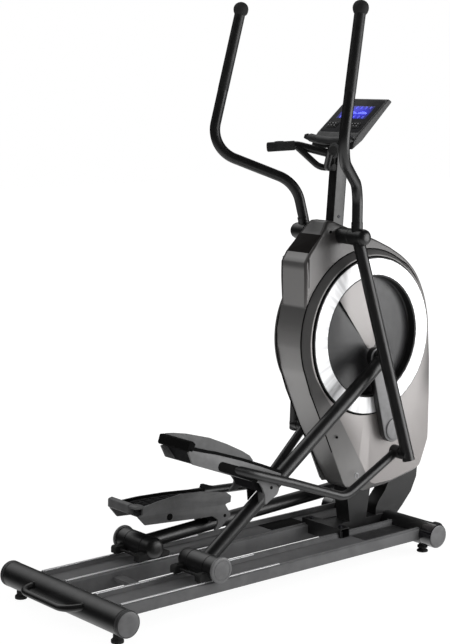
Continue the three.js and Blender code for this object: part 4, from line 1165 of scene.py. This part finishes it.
def carriages():
    for tag, side in SIDES:
        rest = LINKS[tag]
        move = placed(rest["roller"], 0, side)
        inner = Form().turned([(3, 53), (12, 53.2), (19, 54.4), (25, 57), (29, 60.6), (31.6, 65), (33, 70.5),
                               (33, 98.5), (32, 99.8), (20, 99.8)], 0, 0, 64, move=move)
        shown("roller_dome_" + tag, inner, "paint", "carriage_" + tag, "frame_paint", ("carriage_" + tag,))
        outer = Form().turned([(20, 176.2), (32, 176.2), (33, 177.2), (33, 217.4)], 0, 0, 64, move=move)
        shown("roller_sleeve_" + tag, outer, "paint", "carriage_" + tag, "frame_paint")
        cap = Form().turned([(33, 216.8), (37, 217), (38, 218), (38, 223), (37.2, 225), (35, 226), (30, 226.2),
                             (29, 225.4), (27.6, 225.4), (26.6, 226.4), (14, 227), (4, 227.2)], 0, 0, 64, move=move)
        shown("roller_cap_" + tag, cap, "cap", "carriage_" + tag, "cap_grey")
        form = Form()
        corners = outline([(-62, -31, 2), (56, -31, 2), (56, -16, 5), (30, -8, 5), (-62, -8, 8)], 4)
        for y in WHEEL_Y:
            form.plate(corners, y - 13, y + 13, 2.4, 3, move)
            form.block((24, y - 4, -33.7), (50, y + 4, -29), 0.6, move)
        shown("guide_blocks_" + tag, form, "rubber", "carriage_" + tag, "black_rubber")
        node = "wheelset_" + tag
        axle = local(centre(node))
        wheels = Form()
        for y in WHEEL_Y:
            turn = Matrix.Translation((0, side * y, 0))
            wheels.turned([(4, -8), (11, -8), (12.6, -8), (14.4, -6.2), (14.4, 6.2), (12.6, 8), (11, 8), (4, 8)],
                          axle.x, axle.z, 48, looped=True, move=turn)
        wheels.tube([(axle.x, side * 70, axle.z), (axle.x, side * 196, axle.z)], 4, 20)
        shown("guide_wheels_" + tag, wheels, "rubber", "wheels_" + tag, "black_rubber", (node,))


def swing_arms():
    foot = DRAWN["foot"] - PIVOT
    for tag, side in SIDES:
        rest = LINKS[tag]
        move = placed(PIVOT, rest["arm"] - DRAWN["arm"], side)
        body = "arm_" + tag
        sleeve = Form().turned([(20, 98.4), (24.6, 98.4), (26, 99.8), (26, 146), (25.4, 151), (23.4, 156.4),
                                (19.4, 161.6), (13, 165), (5, 166.4)], 0, 0, 64, move=move)
        shown("pivot_sleeve_" + tag, sleeve, "paint", body, "frame_paint", ("swing_arm_" + tag,))
        lower = Form().tube([(0, 123, 0), (foot.x * 1.03, 274, foot.z * 1.03)], 19, 40, move=move)
        lower.turned([(17, 246.6), (19, 246.6), (20, 247.6), (20, 276.6), (19, 278), (13, 278), (12.4, 279),
                      (12.4, 282), (11, 283.4), (4, 283.4)], foot.x, foot.z, 48, move=move)
        shown("lower_arm_" + tag, lower, "paint", body, "frame_paint")
        low, high = SOCKET_X[tag]
        stem = Form().tube([(low, 123, 0), (high, 123, 45)], 17.8, 40, move=move)
        stem.turned([(6, 0), (5.4, 2.4), (3, 3.4)], 0, 0, 20, move=move @ SOCKET_SCREW)
        shown("handle_socket_" + tag, stem, "paint", body, "frame_paint")


# The two handles stand a little differently, so each side has its own stem, lean and top.
HANDLE_ROUTE = [(-3, 123, 40), (-4, 123, 153, 78), (-242, 299, 254, 96), (-149, 270, 690)]
HANDLE_STEM = {"l": [(2, 123, 36), (-27, 132, 152, 110)], "r": HANDLE_ROUTE[:2]}
HANDLE_TOP = {"l": 686, "r": 677}
HANDLE_LEAN = {"l": -0.058, "r": -0.012}
SOCKET_X = {"l": (10, 0), "r": (-3, -3)}
SOCKET_SCREW = Matrix.Translation((0, 123, 30)) @ Matrix.Rotation(math.pi, 4, "X") @ Matrix.Translation((0, 17, 0))
GRIP_START = 436
BALL_END = [(16.6, -18.5), (20, -14), (22.6, -7), (23.5, 0), (22.6, 7), (20, 12.6), (15.6, 17.6), (9, 21.4), (2, 23)]


def on_handle(height):
    a, b = Vector(HANDLE_ROUTE[2][:3]), Vector(HANDLE_ROUTE[3][:3])
    return a + (b - a) * ((height - a.z) / (b.z - a.z))


def upper_handles():
    for tag, side in SIDES:
        rest = LINKS[tag]
        move = placed(PIVOT, rest["arm"] - DRAWN["arm"] + HANDLE_LEAN[tag], side)
        body = "arm_" + tag
        joint = tuple(on_handle(GRIP_START + 1))
        tube = Form().tube([*HANDLE_STEM[tag], HANDLE_ROUTE[2], joint], 16.5, 40, 24, move)
        shown("handle_tube_" + tag, tube, "paint", body, "frame_paint", ("upper_handle_" + tag,))
        sleeve = [on_handle(height) for height in (GRIP_START, GRIP_START + 2, 560, HANDLE_TOP[tag])]
        grip = Form().tube(sleeve, 16.9, 40, move=move, taper=lambda share: 16.3 if share == 0 else 16.9)
        shown("handle_foam_" + tag, grip, "foam", body, "black_rubber", ("handle_grip_" + tag,))
        top = on_handle(HANDLE_TOP[tag])
        cap = Form().upright(BALL_END, top.x, top.y, 40, move @ Matrix.Translation((0, 0, top.z)))
        shown("handle_end_" + tag, cap, "rubber", body, "black_rubber")


def pedal_arms():
    hinge = DRAWN["hinge"]
    for tag, side in SIDES:
        rest = LINKS[tag]
        move = placed(rest["hinge"], rest["link"] - DRAWN["link"], side)

        def at(x, z, *bend):
            return (x - hinge.x, LINK_Y, z - hinge.z, *bend)

        foot, rear = at(DRAWN["foot"].x, DRAWN["foot"].z), at(400, 417)
        route = [foot, at(862, 252, 70), at(649, 331, 300), at(506, 380, 160), (rear[0], LINK_Y - 46, rear[2])]
        tube = Form().tube(route, 14, 36, 12, move)
        shown("pedal_bar_" + tag, tube, "paint", "pedal_" + tag, "frame_paint", ("pedal_arm_" + tag,))
        sleeve = Form().turned([(17, 209), (19, 209), (20, 210), (20, 243.6), (19, 244.8), (17, 244.8)],
                               foot[0], foot[2], 44, move=move)
        shown("link_sleeve_" + tag, sleeve, "paint", "pedal_" + tag, "frame_paint")


# A pedal is drawn about its hinge, in (u, w): along the pedal and up from it.
PEDAL_LIFT = {"l": -6, "r": 7}
PEDAL_INNER = 70
PEDAL_OUTER = 207.5
INNER_LOWER = [
    (-318, 36, 3), (-336, 31, 3), (-306, 3, 5), (-93, 2, 8), (-49, 3, 6), (-28, -10, 6), (-27, -24, 6), (-40, -47, 3),
    (-13, -37, 12), (27, 0, 10), (14, 16, 6), (-1, 36, 2), (21, 40, 3),
]
OUTER_LOWER = [
    (-340, 31, 3), (-313, 3, 5), (-93, 2, 8), (-49, 3, 8), (-33, -9, 8), (-16, -26, 8), (-4, -54, 3), (31, -14, 10),
    (33, 3, 6), (16, 14, 6), (2, 35, 3), (25, 41, 3),
]
INNER_RIM = {
    "l": [(-318, 59), (-256, 71), (-177, 84), (-99, 84), (-40, 78), (4, 71), (22, 60)],
    "r": [(-332, 67), (-300, 75), (-253, 83), (-166, 90), (-97, 87), (-31, 80), (4, 73), (22, 62)],
}
OUTER_RIM = [(-341, 46), (-307, 48), (-239, 54), (-139, 57), (-60, 56), (22, 53)]


def height_at(line, u):
    """The height of a line of (u, height) at u."""
    for (a, low), (b, high) in zip(line, line[1:]):
        if u <= b:
            share = max(0.0, (u - a) / (b - a))
            return low + (high - low) * share
    return line[-1][1]


def cheek(rim, lower):
    """The side-view outline of one side wall: its rim, its front notch and its hinge lug."""
    top = [(u, w, 40 if u < -10 else 4) for u, w in reversed(rim[1:-1])]
    return outline([(*rim[-1], 4), *top, (*rim[0], 4), *lower], 5)


def pedal_walls(tag, body, move):
    form = Form().plate(cheek(INNER_RIM[tag], INNER_LOWER), PEDAL_INNER, PEDAL_INNER + 7, 1.5, 3, move)
    shown("pedal_wall_" + tag, form, "pedal", body, "black_plastic")
    # The outer wall takes the lighter pedal finish: painted light.
    form = Form().plate(cheek(OUTER_RIM, OUTER_LOWER), PEDAL_OUTER - 7, PEDAL_OUTER, 1.5, 3, move)
    shown("pedal_shell_" + tag, form, "pedal_side", body, "black_plastic", ("pedal_" + tag,))


def pedal_deck(tag, body, move):
    """The hull between the side walls, with its narrower knuckle over the hinge."""
    deck = [(20, 44), *[(u, w - 5) for u, w in reversed(OUTER_RIM[1:-1])], (-319, 42), (-313, 34, 3), (-270, 5, 4),
            (-60, 8, 4), (-8, 22, 8)]
    hull = Form().plate(outline(deck, 4), PEDAL_INNER + 5, PEDAL_OUTER - 5, 1, 2, move)
    knuckle = outline([(-62, 12), (20, 12), (16, -16, 8), (0, -22, 8), (-36, -19, 6)], 4)
    hull.plate(knuckle, PEDAL_INNER + 22, PEDAL_OUTER - 26, 2, 2, move)
    shown("pedal_deck_" + tag, hull, "tread", body, "black_plastic")


def pedal_bumper(tag, body, move):
    """The block across the heel. The left one is shorter and has a lip towards the housing. The right one takes the
    near-black seam finish and the left one the grey pedal finish: painted shade and light on the same black plastic.
    """
    left = tag == "l"
    back = outline([(-348, 62, 5), (-347, 37, 3), (-342, 34, 3), (-326, 34), (-322, 60, 3), (-334, 66, 5)], 4)
    bumper = Form().plate(back, PEDAL_INNER + (34 if left else 0), PEDAL_OUTER, 3, 3, move)
    if left:
        lip = outline([(-347, 60, 3), (-344, 53, 2), (-308, 53, 2), (-308, 61, 3), (-334, 63, 5)], 4)
        bumper.plate(lip, PEDAL_INNER + 1, PEDAL_INNER + 40, 2, 3, move)
    # Near-black on the right and grey on the left: painted shade and light.
    shown("pedal_bumper_" + tag, bumper, "pedal" if left else "seam", body, "black_plastic")


def pedal_edging(tag, body, move):
    """The dark strip along the outer rim, a near-black plate painted as the shade of a long recess below it, and the
    ends of the hinge pin.
    """
    edge = PEDAL_OUTER
    section = ((edge - 9, -6), (edge + 0.6, -6), (edge + 0.6, 1.4), (edge - 0.4, 2.6), (edge - 8, 2.6), (edge - 9, 1.6))
    stations = [-338 + 12 * k for k in range(31)]
    strip = Form().rings([[(u, y, height_at(OUTER_RIM, u) + h) for y, h in section] for u in stations], move=move)
    # A near-black plate on the wall stands for the long recess: painted shade.
    slot = outline([(-221, 6, 14), (-60, 2, 6), (-60, 34, 6), (-221, 34, 14)], 6)
    strip.plate(slot, edge - 1, edge + 0.8, 0.4, 2, move)
    for y in (PEDAL_INNER - 0.6, edge - 1):
        strip.turned([(5.2, y), (5.2, y + 1.6), (1, y + 1.6)], 0, 0, 24, move=move)
    button = [(10.5, PEDAL_INNER + 1), (10.5, PEDAL_INNER - 0.7), (1, PEDAL_INNER - 0.7)]
    strip.turned(button, -216, 19, 32, move=move)
    shown("pedal_edging_" + tag, strip, "seam", body, "black_plastic")


def pedal_tread(tag, body, move):
    """Raised pads that follow the deck."""
    tread = Form()
    for row in range(9):
        u = -312 + 35 * row
        slope = math.atan2(height_at(OUTER_RIM, u + 26) - height_at(OUTER_RIM, u), 26)
        for lane in range(5):
            middle = (u + 13, PEDAL_INNER + 27 + 21.4 * lane, height_at(OUTER_RIM, u + 13) - 5)
            spot = Matrix.Translation(middle) @ Matrix.Rotation(-slope, 4, "Y")
            slab(tread, 25, 16, -0.4, 2.6, 4, move @ spot)
    shown("pedal_tread_" + tag, tread, "tread", body, "black_plastic")


def pedals():
    for tag, side in SIDES:
        rest = LINKS[tag]
        body = "pedal_" + tag
        move = placed(rest["hinge"], rest["link"] - DRAWN["link"] + PEDAL_TILT, side)
        move = move @ Matrix.Translation((0, 0, PEDAL_LIFT[tag]))
        for piece in (pedal_walls, pedal_deck, pedal_bumper, pedal_edging, pedal_tread):
            piece(tag, body, move)
        if side > 0:
            gusset = outline([(18, 44), (24, 66, 3), (35, 66, 4), (62, 58, 20), (116, 48), (116, 40)], 4)
            fin = Form().plate(gusset, LINK_Y - 5, LINK_Y + 5, 1.4, 2, move)
            shown("pedal_gusset_" + tag, fin, "tread", body, "frame_paint")


# ---------- Mast, handlebar and console ----------
MAST_WIDTH = 35


def mast():
    dressed("mast", "paint", "frame_paint", 0.0025)
    form = Form()
    for side in (-1, 1):
        form.bolt(1020, 1078, side * MAST_WIDTH / 2, side, 5.2, 2.6)
        form.bolt(1034, 1294, side * MAST_WIDTH / 2, side, 4.6, 2.4)
    shown("mast_bolts", form, "black_steel", "frame", "frame_paint")


BAR_BEND = (935, 83, 1297, 60)
BAR_END = (872, 146, 1291)


def grip_size(share):
    """The radius of a bar grip at a share of its way, eased off at both ends."""
    return 13.4 if share == 0 else 9 if share == 1 else 12.6 if share > 0.8 else 14.8


def fixed_handlebar():
    form = Form()
    for _, side in SIDES:
        bar = [(1004, 0, 1271), BAR_BEND, BAR_END]
        brace = [(1008, 0, 1231), (968, 14, 1229, 40), (929, 74, 1291)]
        for route, radius, sides in ((bar, 13, 36), (brace, 10, 32)):
            form.tube([(x, side * y, *rest) for x, y, *rest in route], radius, sides, 12)
    shown("bar_tubes", form, "paint", "frame", "frame_paint", ("fixed_handlebar",))
    clamp = Form()
    clamp.turned([(10, -16), (12.4, -16), (13.4, -15), (13.4, 15), (12.4, 16), (10, 16)], 1001, 1271, 40)
    clamp.turned([(8, -15), (10, -15), (11, -14), (11, 14), (10, 15), (8, 15)], 1001, 1231, 40)
    clamp.block((1003, -11, 1226), (1012, 11, 1279), 2.0)
    shown("bar_clamps", clamp, "rubber", "frame", "frame_paint")
    for tag, side in SIDES:
        a, b = Vector(BAR_BEND[:3]), Vector(BAR_END)
        a.y, b.y = side * a.y, side * b.y

        def at(share, lift=0.0):
            return a + (b - a) * share + Vector((0, 0, lift))

        grip = Form().tube([at(share) for share in (0.08, 0.1, 0.12, 0.5, 0.98, 1.02, 1.05, 1.06)], 14.8, 36,
                           taper=grip_size)
        grip.tube([at(0.42, 7), at(0.5, 9), at(0.66, 9.6), at(0.76, 9), at(0.84, 7)], 7, 28,
                  taper=lambda share: 5 if share in (0, 1) else 7.4)
        shown("bar_grip_%s_finished" % tag, grip, "rubber", "frame", "black_rubber", ("bar_grip_" + tag,))


CONSOLE_FOOT = Vector((1028, 0, 1335))
CONSOLE_HEAD = Vector((1156, 0, 1438))
CONSOLE_HALF = 92
FACE_TURN = math.atan2(CONSOLE_HEAD.z - CONSOLE_FOOT.z, CONSOLE_HEAD.x - CONSOLE_FOOT.x)
FACE_LENGTH = (CONSOLE_HEAD - CONSOLE_FOOT).length
DISPLAY_UP = 98
DISPLAY_SIZE = (60, 128)


def on_face(up, y=0.0, above=0.0):
    """The move to a point on the console's face: up it, across it, above it."""
    return Matrix.Translation(CONSOLE_FOOT) @ Matrix.Rotation(-FACE_TURN, 4, "Y") @ Matrix.Translation((up, y, above))


def console():
    corners = outline([(1028, 1335, 2), (1008, 1312, 4), (1000, 1286, 2), (1045, 1314, 3), (1172, 1430, 4),
                       (1156, 1438, 4)], 4)
    wedge = Form().plate(corners, -CONSOLE_HALF, CONSOLE_HALF, 3, 4)
    shown("console_shell", wedge, "plastic", "frame", "black_plastic", ("console_housing",))
    ledge = Form().tube([(991, -98, 1322), (991.4, -95, 1321.4), (1003, 0, 1301, 400), (991.4, 95, 1321.4),
                         (991, 98, 1322)], 13, 32, 16, taper=lambda share: 10 if share in (0, 1) else 13)
    shown("console_ledge", ledge, "plastic", "frame", "black_plastic")
    panel = slab(Form(), FACE_LENGTH - 10, 2 * CONSOLE_HALF - 12, -0.6, 0.7, 8, on_face(FACE_LENGTH / 2))
    shown("console_panel", panel, "panel", "frame", "gloss_black")
    screen = slab(Form(), *DISPLAY_SIZE, 0.4, 1.0, 3, on_face(DISPLAY_UP))
    shown("display_glass", screen, "screen", "frame", "screen", ("display",))


# The seven parts of a figure: how far across, how far up, and whether it lies flat.
SEGMENTS = ((0, 4.6, 1), (0, 0, 1), (0, -4.6, 1), (-2.6, 2.3, 0), (-2.6, -2.3, 0), (2.6, 2.3, 0), (2.6, -2.3, 0))
FIGURES = 6
BARS = 16


def display_segments():
    """Lit seven-part figures and a bar chart, as on any such display."""
    form = Form()

    def lit(long, wide, up, y):
        slab(form, long, wide, 0.9, 1.2, 0.3, on_face(DISPLAY_UP + up, y))

    for row in (22, -22):
        for k in range(FIGURES):
            y = (k - (FIGURES - 1) / 2) * 20
            for across, rise, flat in SEGMENTS:
                lit(*((0.9, 4.0) if flat else (3.6, 0.9)), row + rise, y - across)
    for k in range(BARS):
        tall = 3 + 9 * abs(math.sin(0.45 * k + 0.4))
        lit(tall, 4.4, tall / 2 - 8, (k - (BARS - 1) / 2) * 6.6)
    shown("display_segments", form, "segment", "frame", "screen")


KEYPAD_FRAME = ((12.6, 21.6, 0.7), (12.6, 21.6, 2.8), (12.2, 21.2, 3.2), (11.4, 20.4, 3.2), (11, 20, 2.8),
                (11, 20, 0.7))


def oblong(half, wide, bend):
    """A rounded rectangle in X and Y, from its half sizes."""
    corners = [(-half, -wide, 0, bend), (half, -wide, 0, bend), (half, wide, 0, bend), (-half, wide, 0, bend)]
    return [(p.x, p.y) for p in bent(corners, 6, closed=True)]


def keypads():
    """Two raised pads of six keys, each moving inside a fixed frame."""
    for tag, _ in SIDES:
        node = "keypad_" + tag
        middle = local(centre(node))
        face = Matrix.Translation(middle) @ Matrix.Rotation(-FACE_TURN, 4, "Y")
        pad, keys, bezel = Form(), Form(), Form()
        slab(pad, 21, 39, 2.6, 3.9, 4, face)
        for up in (5, -5):
            for across in (-13, 0, 13):
                spot = face @ Matrix.Translation((up, across, 0))
                slab(pad, 8, 10, 3.7, 4.5, 2.4, spot)
                slab(keys, 1.8, 4.4, 4.3, 4.8, 0.8, spot)
        walls = [[(x, y, high) for x, y in oblong(half, wide, 4)] for half, wide, high in KEYPAD_FRAME]
        bezel.rings(walls, looped=True, move=face)
        shown(node + "_frame", bezel, "plastic", "frame", "black_plastic")
        shown(node + "_base", pad, "rubber", node, "black_rubber", (node,))
        shown(node + "_keys", keys, "legend", node, "black_rubber")


def pivot_axle():
    for tag, side in SIDES:
        profile = [(25, 34), (25, 96.4), (24, 97.6), (21, 97.6)]
        form = Form().lathe(profile, side, PIVOT.x, PIVOT.z, 56)
        names = ("pivot_axle",) if side < 0 else ()
        shown("pivot_boss_" + tag, form, "paint", "frame", "frame_paint", names)


# ---------- Stage ----------
def aimed(data, name, spot, target):
    """An object at spot, looking at target."""
    made = bpy.data.objects.new(name, data)
    bpy.context.scene.collection.objects.link(made)
    made.location = spot
    made.rotation_euler = (Vector(target) - Vector(spot)).to_track_quat("-Z", "Y").to_euler()
    return made


CAMERA_LENS = 90.41
CAMERA_HEADING = math.radians(39.66)
CAMERA_DROP = math.radians(8.907)
CAMERA_SPOT = Vector((REAR_AXIS.x - 2.4449, -3.644, 1.5314))
KEY_SPOT = (2.1, -2.55, 1.0)
KEY_TARGET = (0, 0, 0.8)
KEY_SIZE = 2.6
KEY_POWER = 105
FLOOR_HALF = 14
FLOOR_DROP = 0.0005


def camera():
    data = bpy.data.cameras.new("camera")
    data.lens = CAMERA_LENS
    data.sensor_width = 36
    data.clip_end = 60
    flat = math.cos(CAMERA_DROP)
    way = Vector((math.sin(CAMERA_HEADING) * flat, math.cos(CAMERA_HEADING) * flat, -math.sin(CAMERA_DROP)))
    bpy.context.scene.camera = aimed(data, "camera", CAMERA_SPOT, CAMERA_SPOT + way)


def sky():
    """White behind the object, and a soft studio for everything that lights or is mirrored in it."""
    world = bpy.data.worlds.new("room")
    world.use_nodes = True
    tree = world.node_tree
    tree.nodes.clear()

    def node(kind, *sources, **settings):
        made = tree.nodes.new(kind)
        for key, value in settings.items():
            setattr(made, key, value)
        for place, source in enumerate(sources):
            if isinstance(source, bpy.types.NodeSocket):
                tree.links.new(source, made.inputs[place])
            elif source is not None:
                made.inputs[place].default_value = source
        return made.outputs

    path = tree.nodes.new("ShaderNodeLightPath").outputs
    way = node("ShaderNodeSeparateXYZ", tree.nodes.new("ShaderNodeTexCoord").outputs["Generated"])

    def rise(axis, low, high, start, end):
        return node("ShaderNodeMapRange", way[axis], low, high, start, end, interpolation_type="SMOOTHSTEP")[0]

    above = node("ShaderNodeMath", rise(2, 0.3, 0.85, 0.0, 2.4), rise(1, 0.1, 0.7, 0.0, 1.0), operation="MULTIPLY")[0]
    below = rise(2, -0.7, -0.15, 1.1, 0.02)
    mirrored = node("ShaderNodeMath", above, below)[0]
    lit = rise(0, -0.9, 0.3, 0.95, 0.42)
    split = tree.nodes.new("ShaderNodeMix")
    for place, source in ((0, path["Is Glossy Ray"]), (2, lit), (3, mirrored)):
        tree.links.new(source, split.inputs[place])
    room = node("ShaderNodeBackground", split.outputs[0])[0]
    white = node("ShaderNodeBackground", (1, 1, 1, 1))[0]
    seen = node("ShaderNodeMixShader", path["Is Camera Ray"], room, white)[0]
    node("ShaderNodeOutputWorld", seen)
    bpy.context.scene.world = world


def floor():
    """A pale floor that keeps the shadow and fades to white with distance."""
    mesh = bpy.data.meshes.new("floor")
    corners = [(x * FLOOR_HALF, y * FLOOR_HALF, 0) for x, y in ((-1, -1), (1, -1), (1, 1), (-1, 1))]
    mesh.from_pydata(corners, [], [(0, 1, 2, 3)])
    surface = Finish("floor", (0.8, 0.8, 0.8), 1.0, Specular_IOR_Level=0.0)
    x, y, _ = surface.axes()
    away = (x * x + y * y).root()
    fade = surface.step(away, 0.6, 1.6, 0.86, 1.0)
    seen = surface.node("ShaderNodeLightPath")
    glow = surface.tree.nodes.new("ShaderNodeEmission")
    glow.inputs["Strength"].default_value = 1.1
    mix = surface.tree.nodes.new("ShaderNodeMixShader")
    surface.tree.links.new((fade * seen).socket, mix.inputs[0])
    surface.tree.links.new(surface.shader.outputs[0], mix.inputs[1])
    surface.tree.links.new(glow.outputs[0], mix.inputs[2])
    output = next(node for node in surface.tree.nodes if node.type == "OUTPUT_MATERIAL")
    surface.tree.links.new(mix.outputs[0], output.inputs["Surface"])
    mesh.materials.append(surface.material)
    made = bpy.data.objects.new("floor", mesh)
    made.location.z = -FLOOR_DROP
    made.visible_glossy = False
    bpy.context.scene.collection.objects.link(made)


def lights():
    data = bpy.data.lights.new("key", "AREA")
    data.shape = "RECTANGLE"
    data.size = data.size_y = KEY_SIZE
    data.energy = KEY_POWER
    aimed(data, "key", KEY_SPOT, KEY_TARGET)
    scene = bpy.context.scene
    scene.view_settings.view_transform = "Standard"
    scene.view_settings.look = "None"


# ---------- Operators ----------
class TRAINER_OT_finishes(bpy.types.Operator):
    """Make the materials of the machine"""
    bl_idname = "trainer.finishes"
    bl_label = "Finishes"

    def execute(self, context):
        make_finishes()
        return {"FINISHED"}


class TRAINER_OT_base(bpy.types.Operator):
    """Build the foot tubes, their caps, feet and the lifting handle"""
    bl_idname = "trainer.base"
    bl_label = "Base"

    def execute(self, context):
        for node in ("rear_stabilizer", "front_stabilizer"):
            foot_tube(node)
        rear_caps()
        front_caps()
        feet()
        carry_handle()
        return {"FINISHED"}


class TRAINER_OT_transport_wheels(bpy.types.Operator):
    """Build the transport wheels"""
    bl_idname = "trainer.transport_wheels"
    bl_label = "Transport wheels"

    def execute(self, context):
        transport_wheels()
        return {"FINISHED"}


class TRAINER_OT_tracks(bpy.types.Operator):
    """Build the tracks and their bright rails"""
    bl_idname = "trainer.tracks"
    bl_label = "Tracks and rails"

    def execute(self, context):
        tracks_and_rails()
        return {"FINISHED"}


class TRAINER_OT_frame(bpy.types.Operator):
    """Build the welded frame"""
    bl_idname = "trainer.frame"
    bl_label = "Frame"

    def execute(self, context):
        main_frame()
        drive()
        return {"FINISHED"}


class TRAINER_OT_housing(bpy.types.Operator):
    """Build the moulded housing, its raised faces and the window"""
    bl_idname = "trainer.housing"
    bl_label = "Housing"

    def execute(self, context):
        housing_body()
        platforms()
        window()
        housing_details()
        return {"FINISHED"}


class TRAINER_OT_rings(bpy.types.Operator):
    """Build the bright rings and the discs inside them"""
    bl_idname = "trainer.rings"
    bl_label = "Rings and discs"

    def execute(self, context):
        rings_and_discs()
        return {"FINISHED"}


class TRAINER_OT_cranks(bpy.types.Operator):
    """Build the crank arms with their covers"""
    bl_idname = "trainer.cranks"
    bl_label = "Cranks"

    def execute(self, context):
        crank_arms()
        return {"FINISHED"}


class TRAINER_OT_main_tubes(bpy.types.Operator):
    """Build the tubes between the cranks and the rollers"""
    bl_idname = "trainer.main_tubes"
    bl_label = "Main tubes"

    def execute(self, context):
        main_tubes()
        return {"FINISHED"}


class TRAINER_OT_carriages(bpy.types.Operator):
    """Build the rollers with their guide wheels"""
    bl_idname = "trainer.carriages"
    bl_label = "Rollers"

    def execute(self, context):
        carriages()
        return {"FINISHED"}


class TRAINER_OT_arms(bpy.types.Operator):
    """Build the swinging arms, their handles and grips"""
    bl_idname = "trainer.arms"
    bl_label = "Swinging arms"

    def execute(self, context):
        pivot_axle()
        swing_arms()
        upper_handles()
        return {"FINISHED"}


class TRAINER_OT_pedals(bpy.types.Operator):
    """Build the pedals and their connecting bars"""
    bl_idname = "trainer.pedals"
    bl_label = "Pedals"

    def execute(self, context):
        pedal_arms()
        pedals()
        return {"FINISHED"}


class TRAINER_OT_mast(bpy.types.Operator):
    """Build the mast and the fixed handlebar"""
    bl_idname = "trainer.mast"
    bl_label = "Mast and handlebar"

    def execute(self, context):
        mast()
        fixed_handlebar()
        return {"FINISHED"}


class TRAINER_OT_console(bpy.types.Operator):
    """Build the console, its display and its keys"""
    bl_idname = "trainer.console"
    bl_label = "Console"

    def execute(self, context):
        console()
        display_segments()
        keypads()
        return {"FINISHED"}


class TRAINER_OT_stage(bpy.types.Operator):
    """Set the floor, the lights and the camera"""
    bl_idname = "trainer.stage"
    bl_label = "Stage"

    def execute(self, context):
        sky()
        floor()
        lights()
        camera()
        return {"FINISHED"}


OPERATORS = (
    TRAINER_OT_finishes, TRAINER_OT_base, TRAINER_OT_transport_wheels, TRAINER_OT_tracks, TRAINER_OT_frame,
    TRAINER_OT_housing, TRAINER_OT_rings, TRAINER_OT_cranks, TRAINER_OT_main_tubes, TRAINER_OT_carriages,
    TRAINER_OT_arms, TRAINER_OT_pedals, TRAINER_OT_mast, TRAINER_OT_console, TRAINER_OT_stage,
)


class TRAINER_PT_panel(bpy.types.Panel):
    """Lists the machine's pieces and their sizes"""
    bl_idname = "TRAINER_PT_panel"
    bl_label = "Elliptical Trainer"
    bl_space_type = "VIEW_3D"
    bl_region_type = "UI"
    bl_category = "Trainer"

    def draw(self, context):
        for group in (context.scene.trainer_sizes, context.scene.trainer_colours):
            box = self.layout.box()
            for name in group.__annotations__:
                box.prop(group, name)
        for operator in OPERATORS:
            self.layout.operator(operator.bl_idname)


CLASSES = (TrainerSizes, TrainerColours, *OPERATORS, TRAINER_PT_panel)


def register():
    for entry in CLASSES:
        bpy.utils.register_class(entry)
    bpy.types.Scene.trainer_sizes = bpy.props.PointerProperty(type=TrainerSizes)
    bpy.types.Scene.trainer_colours = bpy.props.PointerProperty(type=TrainerColours)


def unregister():
    del bpy.types.Scene.trainer_colours
    del bpy.types.Scene.trainer_sizes
    for entry in reversed(CLASSES):
        bpy.utils.unregister_class(entry)


def main():
    register()
    for operator in OPERATORS:
        group, name = operator.bl_idname.split(".")
        getattr(getattr(bpy.ops, group), name)()


if __name__ == "__main__":
    main()
